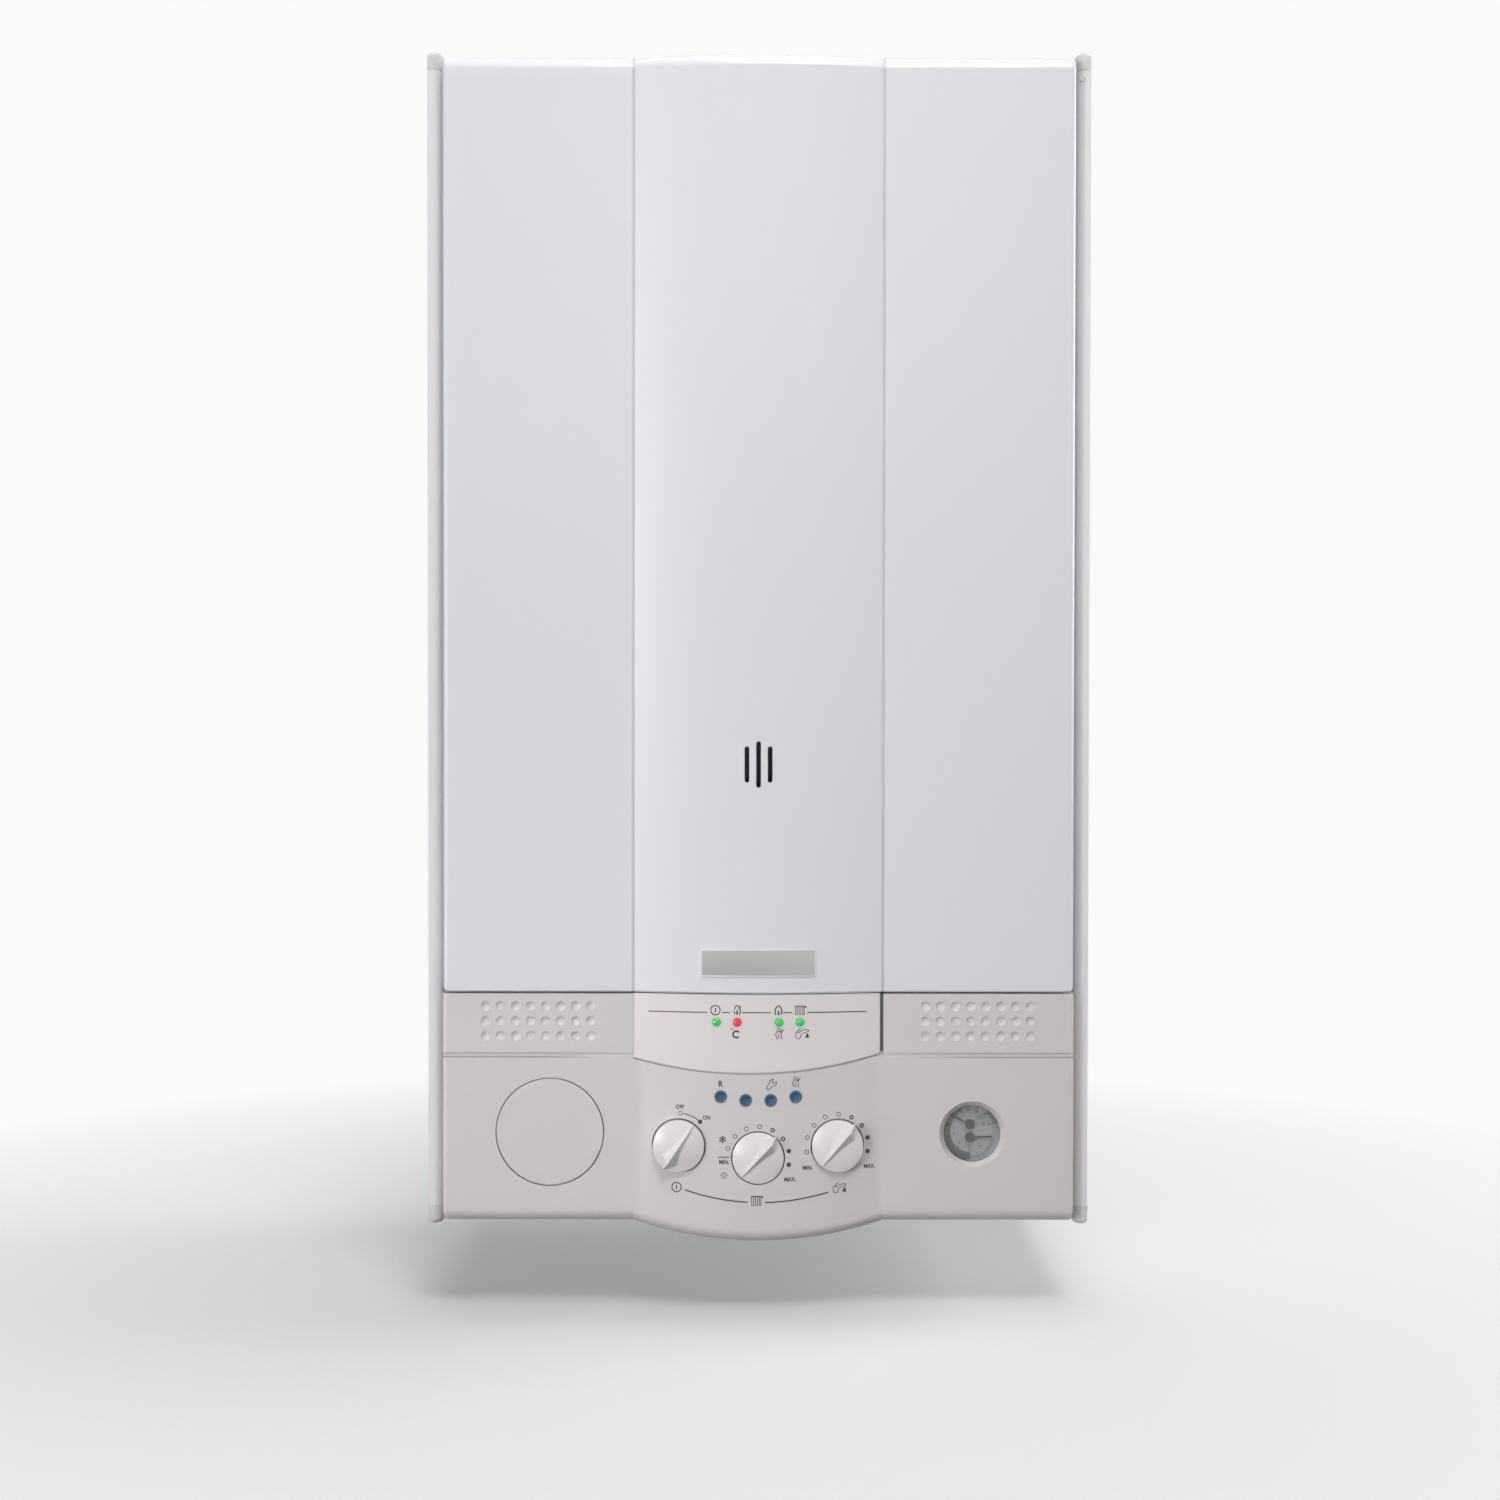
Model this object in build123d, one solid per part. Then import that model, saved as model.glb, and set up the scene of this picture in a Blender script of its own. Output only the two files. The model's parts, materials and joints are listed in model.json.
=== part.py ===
"""Wall-hung combi boiler: casing, control panel, sealed burner chamber and hydraulics.

Heights are measured up from the foot of the casing and depths out from the wall, in millimetres.
X runs to the right as the user faces the boiler, the front faces -Y and Z is up. When the pieces are
written they are shifted so that the origin is the centre of the wall bracket's two bolt holes.
"""
import os
from math import sqrt

from build123d import *

# ---- casing ----
casing_w = 410.0            # over the side panels
casing_h = 727.0            # foot of the corner caps to their top
front_depth = 300.0         # wall to the flat zones of the front
bow_height = 9.0            # how far the middle zone stands out from the flat ones
crease_x = 77.0             # half the width of the bowed middle zone
sheet = 1.0                 # painted steel of the casing
rail_w = 9.0                # front rail of a side panel, seen from the front
rail_set = 10.0             # front of the rail behind the flat zones
rail_flat = 1.6             # width of its flat edge beside the quarter round
rail_deep = 35.0            # front of the rail to the edge of its inner return
cap_h = 11.5                # corner cap, seam to end
cap_groove = 0.4            # groove round the seam of a top cap
cap_bead = 2.2              # height of the bead round a bottom cap
cap_lip = 0.4               # how far that bead stands proud of its rail
cap_plug = 12.0             # tongue of a cap inside its rail
cap_play = 0.2
cap_round = 3.6             # rounded edges of a top cap, and of a bottom cap
cap_foot_round = 3.0
side_gap = 1.3              # front cover to rail
rail_screw_x = 5.0          # two small screws in the right-hand rail, from its outer face
rail_screw_r = 1.6
rail_screw_play = 0.05
rail_screw_sunk = 0.6
rail_screw_low = 5.0        # height above the foot of the casing
rail_screw_high = 17.0      # distance below its top

# ---- front cover ----
cover_z0 = 146.0
cover_drop = 5.3            # top of the cover below the top of the caps
cover_rim = 32.0            # depth of its flanges
cover_bend = 8.0            # radius of its top bend
cover_fold = 1.5            # and of its bottom fold
cover_corner = 3.0
crease_w = 1.0              # groove pressed along each crease
crease_depth = 0.4
crease_relief = 0.1         # the same on the inside
slot_z = 287.0              # three viewing slots
slot_w = 2.9
slot_pitch = 7.1
slot_lengths = (22.2, 28.4, 22.2)
badge_w = 70.9
badge_h = 16.8
badge_rise = 19.0           # middle of the badge above the cover's lower edge
badge_t = 0.8
stud_inset = 11.0           # spring studs that hold the cover, from the rails
stud_r = 3.0
stud_play = 0.1
stud_low = 54.0             # lower studs above the cover's lower edge
stud_high = 31.7            # upper studs below its top
clip_h = 24.0

# ---- control panel (fascia) ----
fascia_gap = 0.8            # fascia to rail, each side
seam_gap = 1.0              # front cover to fascia
fascia_z0 = 3.5
fascia_belly = 11.0         # how far the middle hangs below the sides
fascia_t = 3.0
fascia_rim = 36.0           # depth of its side walls
fascia_bend = 8.0
ear_len = 6.0               # hinge ears inside its side walls
strip_proud = 0.6           # display strip above the bowed surface
strip_seat = 1.6            # depth of its pocket
strip_gap = 0.5             # below the strip, above it, and at its two ends
strip_gap_top = 0.5
strip_gap_right = 2.3
strip_gap_left = 0.3
strip_step = 0.4            # pocket beyond the bowed zone
strip_slot = 2.4            # depth of the slot at its right-hand end
strip_round = 1.6           # rounded lower edge of the strip
strip_left_drop = 39.8      # lower edge of the strip at its left end, middle and right end,
strip_mid_drop = 48.4       # below the top of the fascia
strip_right_drop = 36.5
groove_drop = 36.6          # shallow groove across the side zones
groove_w = 2.5
groove_depth = 0.8
dimple_r = 3.0
dimple_depth = 1.2
dimple_pitch = 9.28
dimple_row_pitch = 9.2
dimple_inset = 26.8         # last column from the fascia's end
dimple_drop = 7.7           # top row below the fascia's top
dimple_columns = 8
dimple_rows = 3
timer_inset = 66.5          # middle of the timer place from the fascia's end
timer_z = 59.3
timer_r = 33.0
timer_gap = 0.75
timer_lip = 4.0             # flange of its cap behind the fascia
timer_lip_t = 1.5
timer_edge = 0.5

# ---- knobs, buttons and lamps ----
knob_r = 15.8
knob_gap = 0.8
knob_dx = 48.9
knob_side_z = 52.2
knob_mid_z = 44.9
knob_dome = 1.5             # crown of the disc above its rim
knob_proud = 0.6            # rim above the bowed surface
grip_tail_h = 0.6           # crest of the grip above the rim, at its two ends
grip_head_h = 10.0
grip_shoulder = 10.0        # widest place of the grip, from the knob's axis
grip_crest = 12.3           # highest place of the grip, from the knob's axis
grip_w = 12.8
grip_waist = 10.0           # place where the grip narrows to its tail, from the knob's axis
grip_waist_w = 7.2
grip_tail_gap = 0.6
nib_reach = 1.9             # grip beyond the rim of the disc
knob_angles = {"function_knob": 215.0, "heating_knob": 41.0, "hot_water_knob": 38.0}
shaft_r = 3.0
shaft_play = 0.05
button_r = 3.6
button_gap = 0.3
button_lip = 1.0            # flange of a button behind the fascia
button_stem_r = 1.6
button_travel = 1.9         # stem to switch
button_dx = (-23.0, -7.65, 7.65, 23.0)
button_z = (82.6, 80.5, 80.5, 82.6)
button_proud = 1.0
button_dish = 0.8
button_edge = 0.6
button_slack = 0.5
button_names = ("reset_button", "mode_button", "service_button", "sweep_button")
lamp_r = 2.7
lamp_play = 0.1
lamp_drop = 16.4            # lamps below the top of the fascia
lamp_proud = 0.9
lamp_round = 1.2
lamp_x = (-25.6, -12.9, 12.9, 25.6)

# ---- gauge ----
gauge_inset = 62.7          # middle of the gauge from the fascia's end
gauge_z = 58.1
gauge_r = 17.6
needle_room = 1.4           # wall of the gauge behind the edge of its window
gauge_rim_r = 20.4
gauge_wall = 3.4
gauge_len = 35.0
dial_depth = 9.0            # front of the panel to the dial
glass_t = 1.0
glass_play = 0.05
hub_x = -0.9
hub_up = 4.9
hub_down = 3.4
hub_r = 3.0
needle_up = 13.3
needle_down = 14.0
needle_w = 0.9
needle_angles = (-64.4, 87.7)   # from upright, clockwise
spindle_r = 0.5
spindle_play = 0.05
needle_hold = 4.0           # spindle in the dial
needle_lift = 0.5
needle_t = 0.6
hub_t = 1.9

# ---- control box behind the fascia ----
box_side_gap = 0.7          # box to the flange of the timer's cap
box_z0 = 12.0
box_drop = 9.0              # top of the box below the top of the fascia
box_depth = 56.0
box_t = 2.0
box_round = 5.0
rim_step = 0.3              # box and gauge glass behind the fascia's inside
board_t = 1.6
board_set = 14.0            # inside of the fascia to the circuit board
board_gap = 5.0
post_r = 4.0
pot_size = 12.0
pot_len = 8.0
switch_size = 6.0
switch_len = 4.0
hinge_z = 20.0
hinge_set = 38.0            # front to hinge
pivot_r = 3.0
pivot_play = 0.09
pivot_end = 3.0             # pivot beyond its ear

# ---- chassis and wall bracket ----
panel_gap = 12.0            # wall to the back panel
panel_t = 1.2
flange_len = 26.0
foot_z = 30.0
foot_h = 14.0
tray_z = 14.0
tray_rim = 20.0
tray_set = 37.0             # hinge to the front of the tray
bracket_t = 2.5
bracket_inset = 54.0        # ends of the bracket from the side panels
bracket_h = 32.0
bolt_spacing = 240.0
bolt_hole_r = 4.5
bolt_below_top = 35.0       # bolt holes below the top of the casing
hook_x = 60.0
hook_w = 36.0
hook_rise = 10.0
hook_play = 0.2

# ---- sealed chamber ----
chamber_gap = 32.0          # side panel to chamber
chamber_back = 88.0
chamber_set = 42.0          # front to the chamber's lip
chamber_z0 = 228.0
chamber_top_gap = 14.7      # chamber roof below the top plate
chamber_lip = 12.0
gasket_t = 1.5
screw_r = 2.0
screw_head_r = 4.0
screw_play = 0.1
screw_inset = 30.0
window_r = 13.0
window_rim = 4.0
window_t = 2.5
ear_w = 40.0
ear_inset = 60.0            # ears from the chamber's floor and roof
fire_side_gap = 52.0        # chamber wall to fire box
fire_back_gap = 12.0
fire_front_gap = 34.0
fire_rise = 46.0            # bottom of the fire box above the chamber's floor
fire_h = 166.0
board_wall = 12.0
electrode_r = 4.0
electrode_play = 0.1
electrode_back = 20.0       # insulator behind and in front of the fire box's front
electrode_front = 16.0
electrode_collar = 3.0
electrode_len = 70.0        # reach of the wire
electrode_wire_r = 1.2
electrode_places = (-64.0, -46.0, 46.0)
burner_bars = 12
burner_bar_w = 11.0
burner_bar_h = 34.0
burner_foot = 12.0          # side plates of the burner
port_w = 1.2                # flame ports
nozzle_rise = 22.0
nozzle_r = 2.6
manifold_w = 14.0
manifold_set = 12.0         # fire box to the middle of the manifold
exchanger_h = 60.0
fin_count = 21
fin_t = 1.0
fin_inset = 6.0
tube_count = 5
tube_r = 8.0
tube_inset = 14.0           # first and last tube from the exchanger's faces
fan_x = -30.0
fan_rise = 112.0            # fan's axis above the exchanger
fan_r = 58.0
fan_w = 50.0
fan_wall = 2.0
fan_inlet_r = 32.0
fan_blades = 12
blade_t = 1.4
rim_t = 2.0                 # discs of the impellers
shaft_hold = 22.0           # shafts inside their motors
duct_w = 26.0               # depth of the duct behind the fan
duct_edge = 14.0
hood_rise = 42.0            # foot of the duct above the exchanger
impeller_r = 50.0
outlet_r = 29.8
outlet_neck = 6.0
outlet_gap = 1.0            # fan outlet below the flue socket
motor_r = 36.0
motor_len = 46.0
flue_r = 30.1
collar_r = 50.0
collar_wall = 1.5
collar_h = 22.3             # above the top plate
collar_play = 0.5
spoke_h = 12.0
spoke_t = 2.5
flange_r = 64.0
flange_t = 2.0

# ---- hydraulics ----
stub_depth = 150.0
stub_drop = 24.0            # pipe ends below the casing
stop_drop = 8.0             # flared stop of a pipe end, below the tray
stop_h = 3.0
stop_w = 2.0
heating_inset = 42.0        # heating pipes from the chamber's sides
water_x = 65.0
heating_r = 13.2
water_r = 10.4
gas_r = 10.6
gas_pipe_r = 8.0
bore_wall = 2.6
block_gap = 31.8            # back panel to the two water blocks
block_h = 43.0
block_z0 = 55.0
block_round = 5.0
plate_gap = 30.0            # plate exchanger's ends from the heating pipes
plate_t = 1.4
plate_edge = 5.0
plate_count = 12
pipe_r = 9.0
pipe_port = 5.0             # wall of the ports that the pipes stand in
riser_inset = 22.0          # risers from the chamber's sides
pipe_bend = 18.0
pipe_turn_z = 191.0         # height where the pipes below the chamber cross
water_bend = 16.0
gas_bend = 20.0
hole_play = 0.3
vessel_inset = 54.0         # expansion vessel from the side panels
vessel_depth = 70.0
vessel_z0 = 330.0
vessel_h = 320.0
vessel_corner = 40.0
vessel_round = 20.0
pump_r = 44.0
pump_z = 127.0
pump_vanes = 6
pump_back = 23.0            # back and front of the volute from the riser's axis
pump_front = 22.0
pump_wall = 9.0
spigot_play = 0.4
impeller_gap = 3.0
pump_motor_len = 72.0
cap_len = 8.0
vent_r = 13.0
vent_h = 79.0               # top of the air vent above the pump's axis
port_rise = 23.0            # top of the valve's port above the pump's axis
return_rise = 51.0
valve_motor = 44.0          # height of the diverter's motor
valve_r = 20.0
valve_rise = 35.0           # top of the valve above its block
gas_valve_z0 = 72.0
gas_valve_h = 78.0
gas_valve_half = 34.0
solenoid_r = 15.0
solenoid_len = 24.0
solenoid_gap = 27.0         # solenoids and pump to the control box
tap_gap = 4.0               # filling tap beyond the plate exchanger's end
tap_rise = 4.0
tap_top = 0.0
tap_h = 16.0
tap_neck = 6.0
tap_wing = 11.0
wing_round = 4.0
filling_r = 9.0
spindle_hold = 10.0
relief_r = 11.0
relief_len = 27.0
relief_z = 68.0
relief_bore = 6.0
relief_hold = 7.0
relief_gap = 11.0           # relief valve beyond the heating pipe
relief_knob_r = 12.0
relief_knob_len = 14.0
knob_lift = 0.4
hole_room = 2.0
outlet_pipe_r = 7.0
gland_x = -90.0
gland_set = 30.0            # cable gland behind the tray's front
gland_r = 8.0
nut_h = 5.0

# ---- derived places ----
half_w = casing_w / 2
top_z = casing_h
inner_x = half_w - sheet
rail_in = half_w - rail_w
rail_nose = front_depth - rail_set
rail_return = rail_nose - rail_deep
rail_core = rail_nose - rail_w + rail_flat      # depth of the rail's inside behind its round
rail_screw_heights = (rail_screw_low, top_z - rail_screw_high)
cover_half = rail_in - side_gap
cover_z1 = top_z - cover_drop
cover_back = front_depth - cover_rim
badge_z = cover_z0 + badge_rise
stud_x = rail_in - stud_inset
stud_heights = (cover_z0 + stud_low, cover_z1 - stud_high)
fascia_half = rail_in - fascia_gap
fascia_z1 = cover_z0 - seam_gap
fascia_back = front_depth - fascia_rim
fascia_inner = front_depth - fascia_t
groove_z1 = fascia_z1 - groove_drop
strip_right_z = fascia_z1 - strip_right_drop
strip_end = crease_x + strip_step - strip_gap_right
timer_x = timer_inset - fascia_half
gauge_x = fascia_half - gauge_inset
lamp_z = fascia_z1 - lamp_drop
bow_r = (crease_x**2 + bow_height**2) / (2 * bow_height)
bow_centre = front_depth + bow_height - bow_r       # depth of the bow's axis
plate_z1 = cover_z1 - 2 * sheet                     # top of the top plate
plate_z0 = plate_z1 - sheet
box_half = -timer_x - timer_r - timer_lip - box_side_gap
box_z1 = fascia_z1 - box_drop
box_back = fascia_inner - box_depth
board_depth = fascia_inner - board_set
board_front = board_depth + board_t
pot_front = board_front + pot_len
switch_front = board_front + switch_len
knob_back = front_depth
knob_rim = front_depth + bow_height + knob_proud
cup_r = gauge_r + needle_room
hub_heights = (gauge_z + hub_up, gauge_z - hub_down)
hinge_depth = front_depth - hinge_set
tray_front = hinge_depth - tray_set
gland_depth = tray_front - gland_set
bracket_half = inner_x - bracket_inset
bolt_z = top_z - bolt_below_top
panel_front = panel_gap + panel_t
chamber_half = inner_x - chamber_gap
chamber_front = front_depth - chamber_set
chamber_face = chamber_front + gasket_t + sheet
chamber_z1 = plate_z0 - chamber_top_gap
fire_half = chamber_half - fire_side_gap
fire_back = chamber_back + fire_back_gap
fire_front = chamber_front - fire_front_gap
fire_z0 = chamber_z0 + fire_rise
fire_z1 = fire_z0 + fire_h
burner_pitch = (2 * (fire_half - burner_foot) - burner_bar_w / 2) / burner_bars
manifold_depth = fire_front + manifold_set
nozzle_z = chamber_z0 + nozzle_rise
exchanger_z1 = fire_z1 + exchanger_h
tube_z = fire_z1 + exchanger_h / 2
tube_pitch = (fire_front - fire_back - 2 * tube_inset) / (tube_count - 1)
tube_depths = [fire_back + tube_inset + i * tube_pitch for i in range(tube_count)]
fan_z = exchanger_z1 + fan_rise
fan_back = fire_back + duct_w
fan_front = fan_back + fan_w
flue_depth = (fan_back + fan_front) / 2
riser_depth = tube_depths[0]
riser_x = chamber_half - riser_inset
heating_x = chamber_half - heating_inset
plate_half = heating_x - plate_gap
block_depth = panel_front + block_gap
block_z1 = block_z0 + block_h
stack_z = (block_z0 + block_z1) / 2
stack_back, stack_front = block_depth - 8 * sheet, riser_depth - 7 * sheet
valve_port_z = pump_z + port_rise
return_port_z = pump_z + return_rise
solenoid_front = box_back - solenoid_gap
gas_valve_front = solenoid_front - solenoid_len
gas_valve_z1 = gas_valve_z0 + gas_valve_h
block_front = stub_depth + heating_r + 4.8
relief_x = heating_x + relief_r + relief_gap
relief_front = block_front + relief_len
outlet_depth = relief_front - relief_r - 2 * sheet
valve_z = block_z1 + valve_rise
tap_x = plate_half + tap_gap
tap_z0 = tray_z + tap_rise
knob_places = {
    "function_knob": (-knob_dx, knob_side_z),
    "heating_knob": (0.0, knob_mid_z),
    "hot_water_knob": (knob_dx, knob_side_z),
}


# ---- drawing helpers ----
def block(x0, x1, d0, d1, z0, z1):
    """A block between two widths, two depths from the wall and two heights."""
    return Pos((x0 + x1) / 2, -(d0 + d1) / 2, (z0 + z1) / 2) * Box(x1 - x0, d1 - d0, z1 - z0)


def rod_x(r, x0, x1, d, z):
    """A round bar that runs across the boiler."""
    return Pos((x0 + x1) / 2, -d, z) * Rot(0, 90, 0) * Cylinder(r, x1 - x0)


def rod_d(r, x, d0, d1, z):
    """A round bar that runs from front to back."""
    return Pos(x, -(d0 + d1) / 2, z) * Rot(90, 0, 0) * Cylinder(r, d1 - d0)


def rod_z(r, x, d, z0, z1):
    """An upright round bar."""
    return Pos(x, -d, (z0 + z1) / 2) * Cylinder(r, z1 - z0)


def pipe(r, bend, *route):
    """A pipe along straight runs and tangent bends; the route's points are (x, depth, height)."""
    path = FilletPolyline(*[(x, -d, z) for x, d, z in route], radius=bend)
    return sweep((path ^ 0) * Circle(r), path=path)


def both_sides(piece):
    """A piece and its mirror image on the left."""
    return [mirror(piece, about=Plane.YZ), piece]


def bow_depth(x, proud=0.0):
    """Depth of the bowed surface at this distance from the middle."""
    return bow_centre + sqrt((bow_r + proud) ** 2 - x**2)


def bow_band(x0, x1, low, high):
    """Plan of a strip that follows the bow between two heights above its surface."""
    mid = (x0 + x1) / 2
    lower = ThreePointArc(*[(x, -bow_depth(x, low)) for x in (x0, mid, x1)])
    upper = ThreePointArc(*[(x, -bow_depth(x, high)) for x in (x1, mid, x0)])
    return make_face(lower + Line(lower @ 1, upper @ 0) + upper + Line(upper @ 1, lower @ 0))


# ---- front skins: two flat zones and a bowed one ----
def flat_block(x0, x1, inset, back, z0, z1, bend_low, bend_high):
    """Filled body with a flat front and rounded edges above and below; inset gives the inside of a skin."""
    body = block(x0, x1, back, front_depth - inset, z0 + inset, z1 - inset)
    front = body.edges().filter_by(Axis.X).group_by(Axis.Y)[0].sort_by(Axis.Z)
    body = fillet(front[-1], bend_high - inset) if bend_high > inset else body
    front = body.edges().filter_by(Axis.X).group_by(Axis.Z)[0].sort_by(Axis.Y)
    return fillet(front[0], bend_low - inset) if bend_low > inset else body


def flat_zone(half, inset, back, z0, z1, bend_low, bend_high):
    """Right-hand flat zone of a front skin, with its rounded outer corner."""
    body = flat_block(crease_x, half - inset, inset, back, z0, z1, bend_low, bend_high)
    if cover_corner > inset:
        corner = body.edges().filter_by(Axis.Z).sort_by_distance((half, -front_depth, (z0 + z1) / 2))
        body = fillet(corner[0], cover_corner - inset)
    return body


def bowed_zone(inset, back, z0, z1, belly, bend_low, bend_high):
    """Middle zone of a front skin, bowed in plan and hanging down by its belly."""
    r = bow_r - inset
    edge = bow_centre + sqrt(r**2 - crease_x**2)
    arc = ThreePointArc((-crease_x, -edge), (0, -(bow_centre + r)), (crease_x, -edge))
    walls = Polyline((crease_x, -edge), (crease_x, -back), (-crease_x, -back), (-crease_x, -edge))
    low, high = z0 - belly + inset, z1 - inset
    body = extrude(Pos(0, 0, low) * make_face(arc + walls), amount=high - low)
    if belly:
        foot = ThreePointArc((-crease_x, z0 + inset), (0, low), (crease_x, z0 + inset))
        sides = Polyline(foot @ 1, (crease_x, high), (-crease_x, high), foot @ 0)
        mask = extrude(Plane.XZ * make_face(foot + sides), amount=2 * front_depth)
        body = body & mask
    for bend, z in ((bend_low, low), (bend_high, high)):
        if bend > inset:
            body = fillet(body.edges().sort_by_distance((0, -(bow_centre + r), z))[0], bend - inset)
    return body


def skin_body(half, inset, back, z0, z1, belly, bend_low, bend_high):
    """Filled body of a front skin with all three zones."""
    right = flat_zone(half, inset, back, z0, z1, bend_low, bend_high)
    middle = bowed_zone(inset, back, z0, z1, belly, bend_low, bend_high)
    return middle + right + mirror(right, about=Plane.YZ)


def front_cover():
    """Folded steel front with viewing slots over the flame."""
    sizes = (cover_z0, cover_z1, 0.0, cover_fold, cover_bend)
    skin = skin_body(cover_half, 0.0, cover_back, *sizes)
    skin -= skin_body(cover_half, sheet, cover_back - sheet, *sizes)
    back, front = front_depth - cover_bend - 1, front_depth + 1
    for x in (-crease_x, crease_x):
        x0, x1 = x - crease_w / 2, x + crease_w / 2
        band = block(x0, x1, back, front, cover_z0 - 1, cover_z1 + 1)
        skin -= band - flat_block(x0, x1, crease_depth, 0, cover_z0, cover_z1, cover_fold, cover_bend)
        skin -= flat_block(x0, x1, sheet - crease_relief, back, cover_z0, cover_z1, cover_fold, cover_bend)
    for i, length in enumerate(slot_lengths):
        slot = Plane.XZ * Pos((i - 1) * slot_pitch, slot_z) * SlotOverall(length, slot_w, rotation=90)
        skin -= Pos(0, -cover_back, 0) * extrude(slot, amount=front_depth)
    return skin


def badge_plate():
    """Bare metal plate stuck on the bowed zone."""
    plan = Pos(0, 0, badge_z - badge_h / 2) * bow_band(-badge_w / 2, badge_w / 2, 0.0, badge_t)
    return extrude(plan, amount=badge_h)


def cover_studs():
    """Four spring studs on the back of the front cover."""
    studs = []
    for z in stud_heights:
        stud = rod_d(stud_r, stud_x, rail_return - 1.0, front_depth - sheet, z)
        studs += both_sides(stud + rod_d(2 * stud_r, stud_x, front_depth - 2 * sheet, front_depth - sheet, z))
    return Compound(children=studs)


# ---- side panels and corner caps ----
def rail_plan(grow, back):
    """Plan of a right-hand front rail, filled: square outside, quarter round towards the front cover."""
    out, inner, nose = half_w + grow, rail_in - grow, rail_nose + grow
    turn = rail_w - rail_flat + grow
    mid = turn * sqrt(0.5)
    arc = ThreePointArc(
        (inner + turn, -nose), (inner + turn - mid, -(nose - turn + mid)), (inner, -(nose - turn))
    )
    walls = Polyline((inner, -(nose - turn)), (inner, -back), (out, -back), (out, -nose), arc @ 0)
    return make_face(arc + walls)


def side_panel():
    """Right-hand side panel: flat sheet whose front edge is rolled into a rail."""
    z0, z1 = fascia_z0, plate_z1 + sheet
    rail = extrude(Pos(0, 0, z0) * rail_plan(0.0, rail_return), amount=z1 - z0)
    rail -= extrude(Pos(0, 0, z0) * rail_plan(-sheet, rail_return - sheet), amount=z1 - z0)
    panel = rail + block(inner_x, half_w, sheet, rail_return, z0, z1)
    wide = half_w + rail_w
    for low, high in ((z0, cap_h), (top_z - cap_h, z1)):
        panel -= block(rail_in - rail_w, wide, rail_return - sheet, front_depth, low, high)
    for z in stud_heights:
        panel += block(
            stud_x - 3 * stud_r, rail_in, rail_return, rail_return + 2 * sheet, z - clip_h / 2, z + clip_h / 2
        )
        panel -= rod_d(stud_r + stud_play, stud_x, rail_return - 1, rail_return + 3 * sheet, z)
    panel -= rod_x(pivot_r + pivot_play, rail_in - 1, rail_in + 2 * sheet, hinge_depth, hinge_z)
    return panel


def rail_screw_hole(z):
    """Hole for a small screw in the front of the right-hand rail or its cap."""
    return rod_d(rail_screw_r + rail_screw_play, half_w - rail_screw_x, rail_core, rail_nose + 1, z)


def rail_tongue(z0, z1):
    """Tongue of a cap, inside the rail."""
    slack = sheet + cap_play
    return block(rail_in + slack, half_w - slack, hinge_depth + pivot_r + 5, rail_core, z0, z1)


def top_cap():
    """Right-hand top cap: a plug with a groove at the seam and a rounded top."""
    seam = top_z - cap_h
    cap = extrude(Pos(0, 0, seam + cap_groove) * rail_plan(0.0, rail_return), amount=cap_h - cap_groove)
    cap = fillet(cap.faces().sort_by(Axis.Z)[-1].edges(), cap_round)
    cap += extrude(Pos(0, 0, seam) * rail_plan(-cap_groove, rail_return), amount=cap_groove)
    return cap + rail_tongue(seam - cap_plug, seam)


def bottom_cap():
    """Right-hand bottom cap: a bead at the seam and a body that draws in below it."""
    bead = extrude(Pos(0, 0, cap_h - cap_bead) * rail_plan(cap_lip, rail_return), amount=cap_bead)
    body = extrude(Pos(0, 0, 0) * rail_plan(0.0, rail_return), amount=cap_h - cap_bead)
    body = fillet(body.faces().sort_by(Axis.Z)[0].edges(), cap_foot_round)
    return bead + body + rail_tongue(cap_h, cap_h + cap_plug)


def corner_caps():
    """The four plastic caps on the ends of the rails."""
    low = bottom_cap()
    ends = [mirror(low, about=Plane.YZ), low - rail_screw_hole(rail_screw_heights[0])]
    return Compound(children=both_sides(top_cap()) + ends)


# ---- chassis ----
def wall_bracket():
    """Steel strip bolted to the wall, with two hooks for the chassis."""
    z0, z1 = bolt_z - bracket_h / 2, bolt_z + bracket_h / 2
    bracket = block(-bracket_half, bracket_half, 0, bracket_t, z0, z1)
    lip = panel_front + hook_play
    for x in (-hook_x, hook_x):
        left, right = x - hook_w / 2, x + hook_w / 2
        bracket += block(left, right, 0, lip + bracket_t, bolt_z - bracket_t, bolt_z)
        bracket += block(left, right, lip, lip + bracket_t, bolt_z - bracket_t, bolt_z + hook_rise)
    for x in (-bolt_spacing / 2, bolt_spacing / 2):
        bracket -= rod_d(bolt_hole_r, x, -1, bracket_t + 1, bolt_z)
    return bracket


def back_frame():
    """Back panel with side flanges, hook slots and a foot that bears on the wall."""
    z0, z1 = fascia_z0, plate_z0
    frame = block(-inner_x, inner_x, panel_gap, panel_front, z0, z1)
    side = block(inner_x - panel_t, inner_x, panel_gap, panel_gap + flange_len, z0, z1)
    frame += side + mirror(side, about=Plane.YZ)
    frame += block(-bracket_half, bracket_half, 0, panel_gap, foot_z, foot_z + panel_t)
    frame += block(-bracket_half, bracket_half, 0, panel_t, foot_z - foot_h, foot_z + panel_t)
    post = block(
        heating_x - heating_r, heating_x + heating_r, panel_front, block_depth, block_z0 + block_h / 5,
        block_z1 - block_h / 5,
    )
    frame += post + mirror(post, about=Plane.YZ)
    for x in (-hook_x, hook_x):
        slot = (x - hook_w / 2 - 2, x + hook_w / 2 + 2)
        frame -= block(*slot, panel_gap - 1, panel_front + 1, bolt_z - hook_rise - 3, bolt_z)
    return frame


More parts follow.
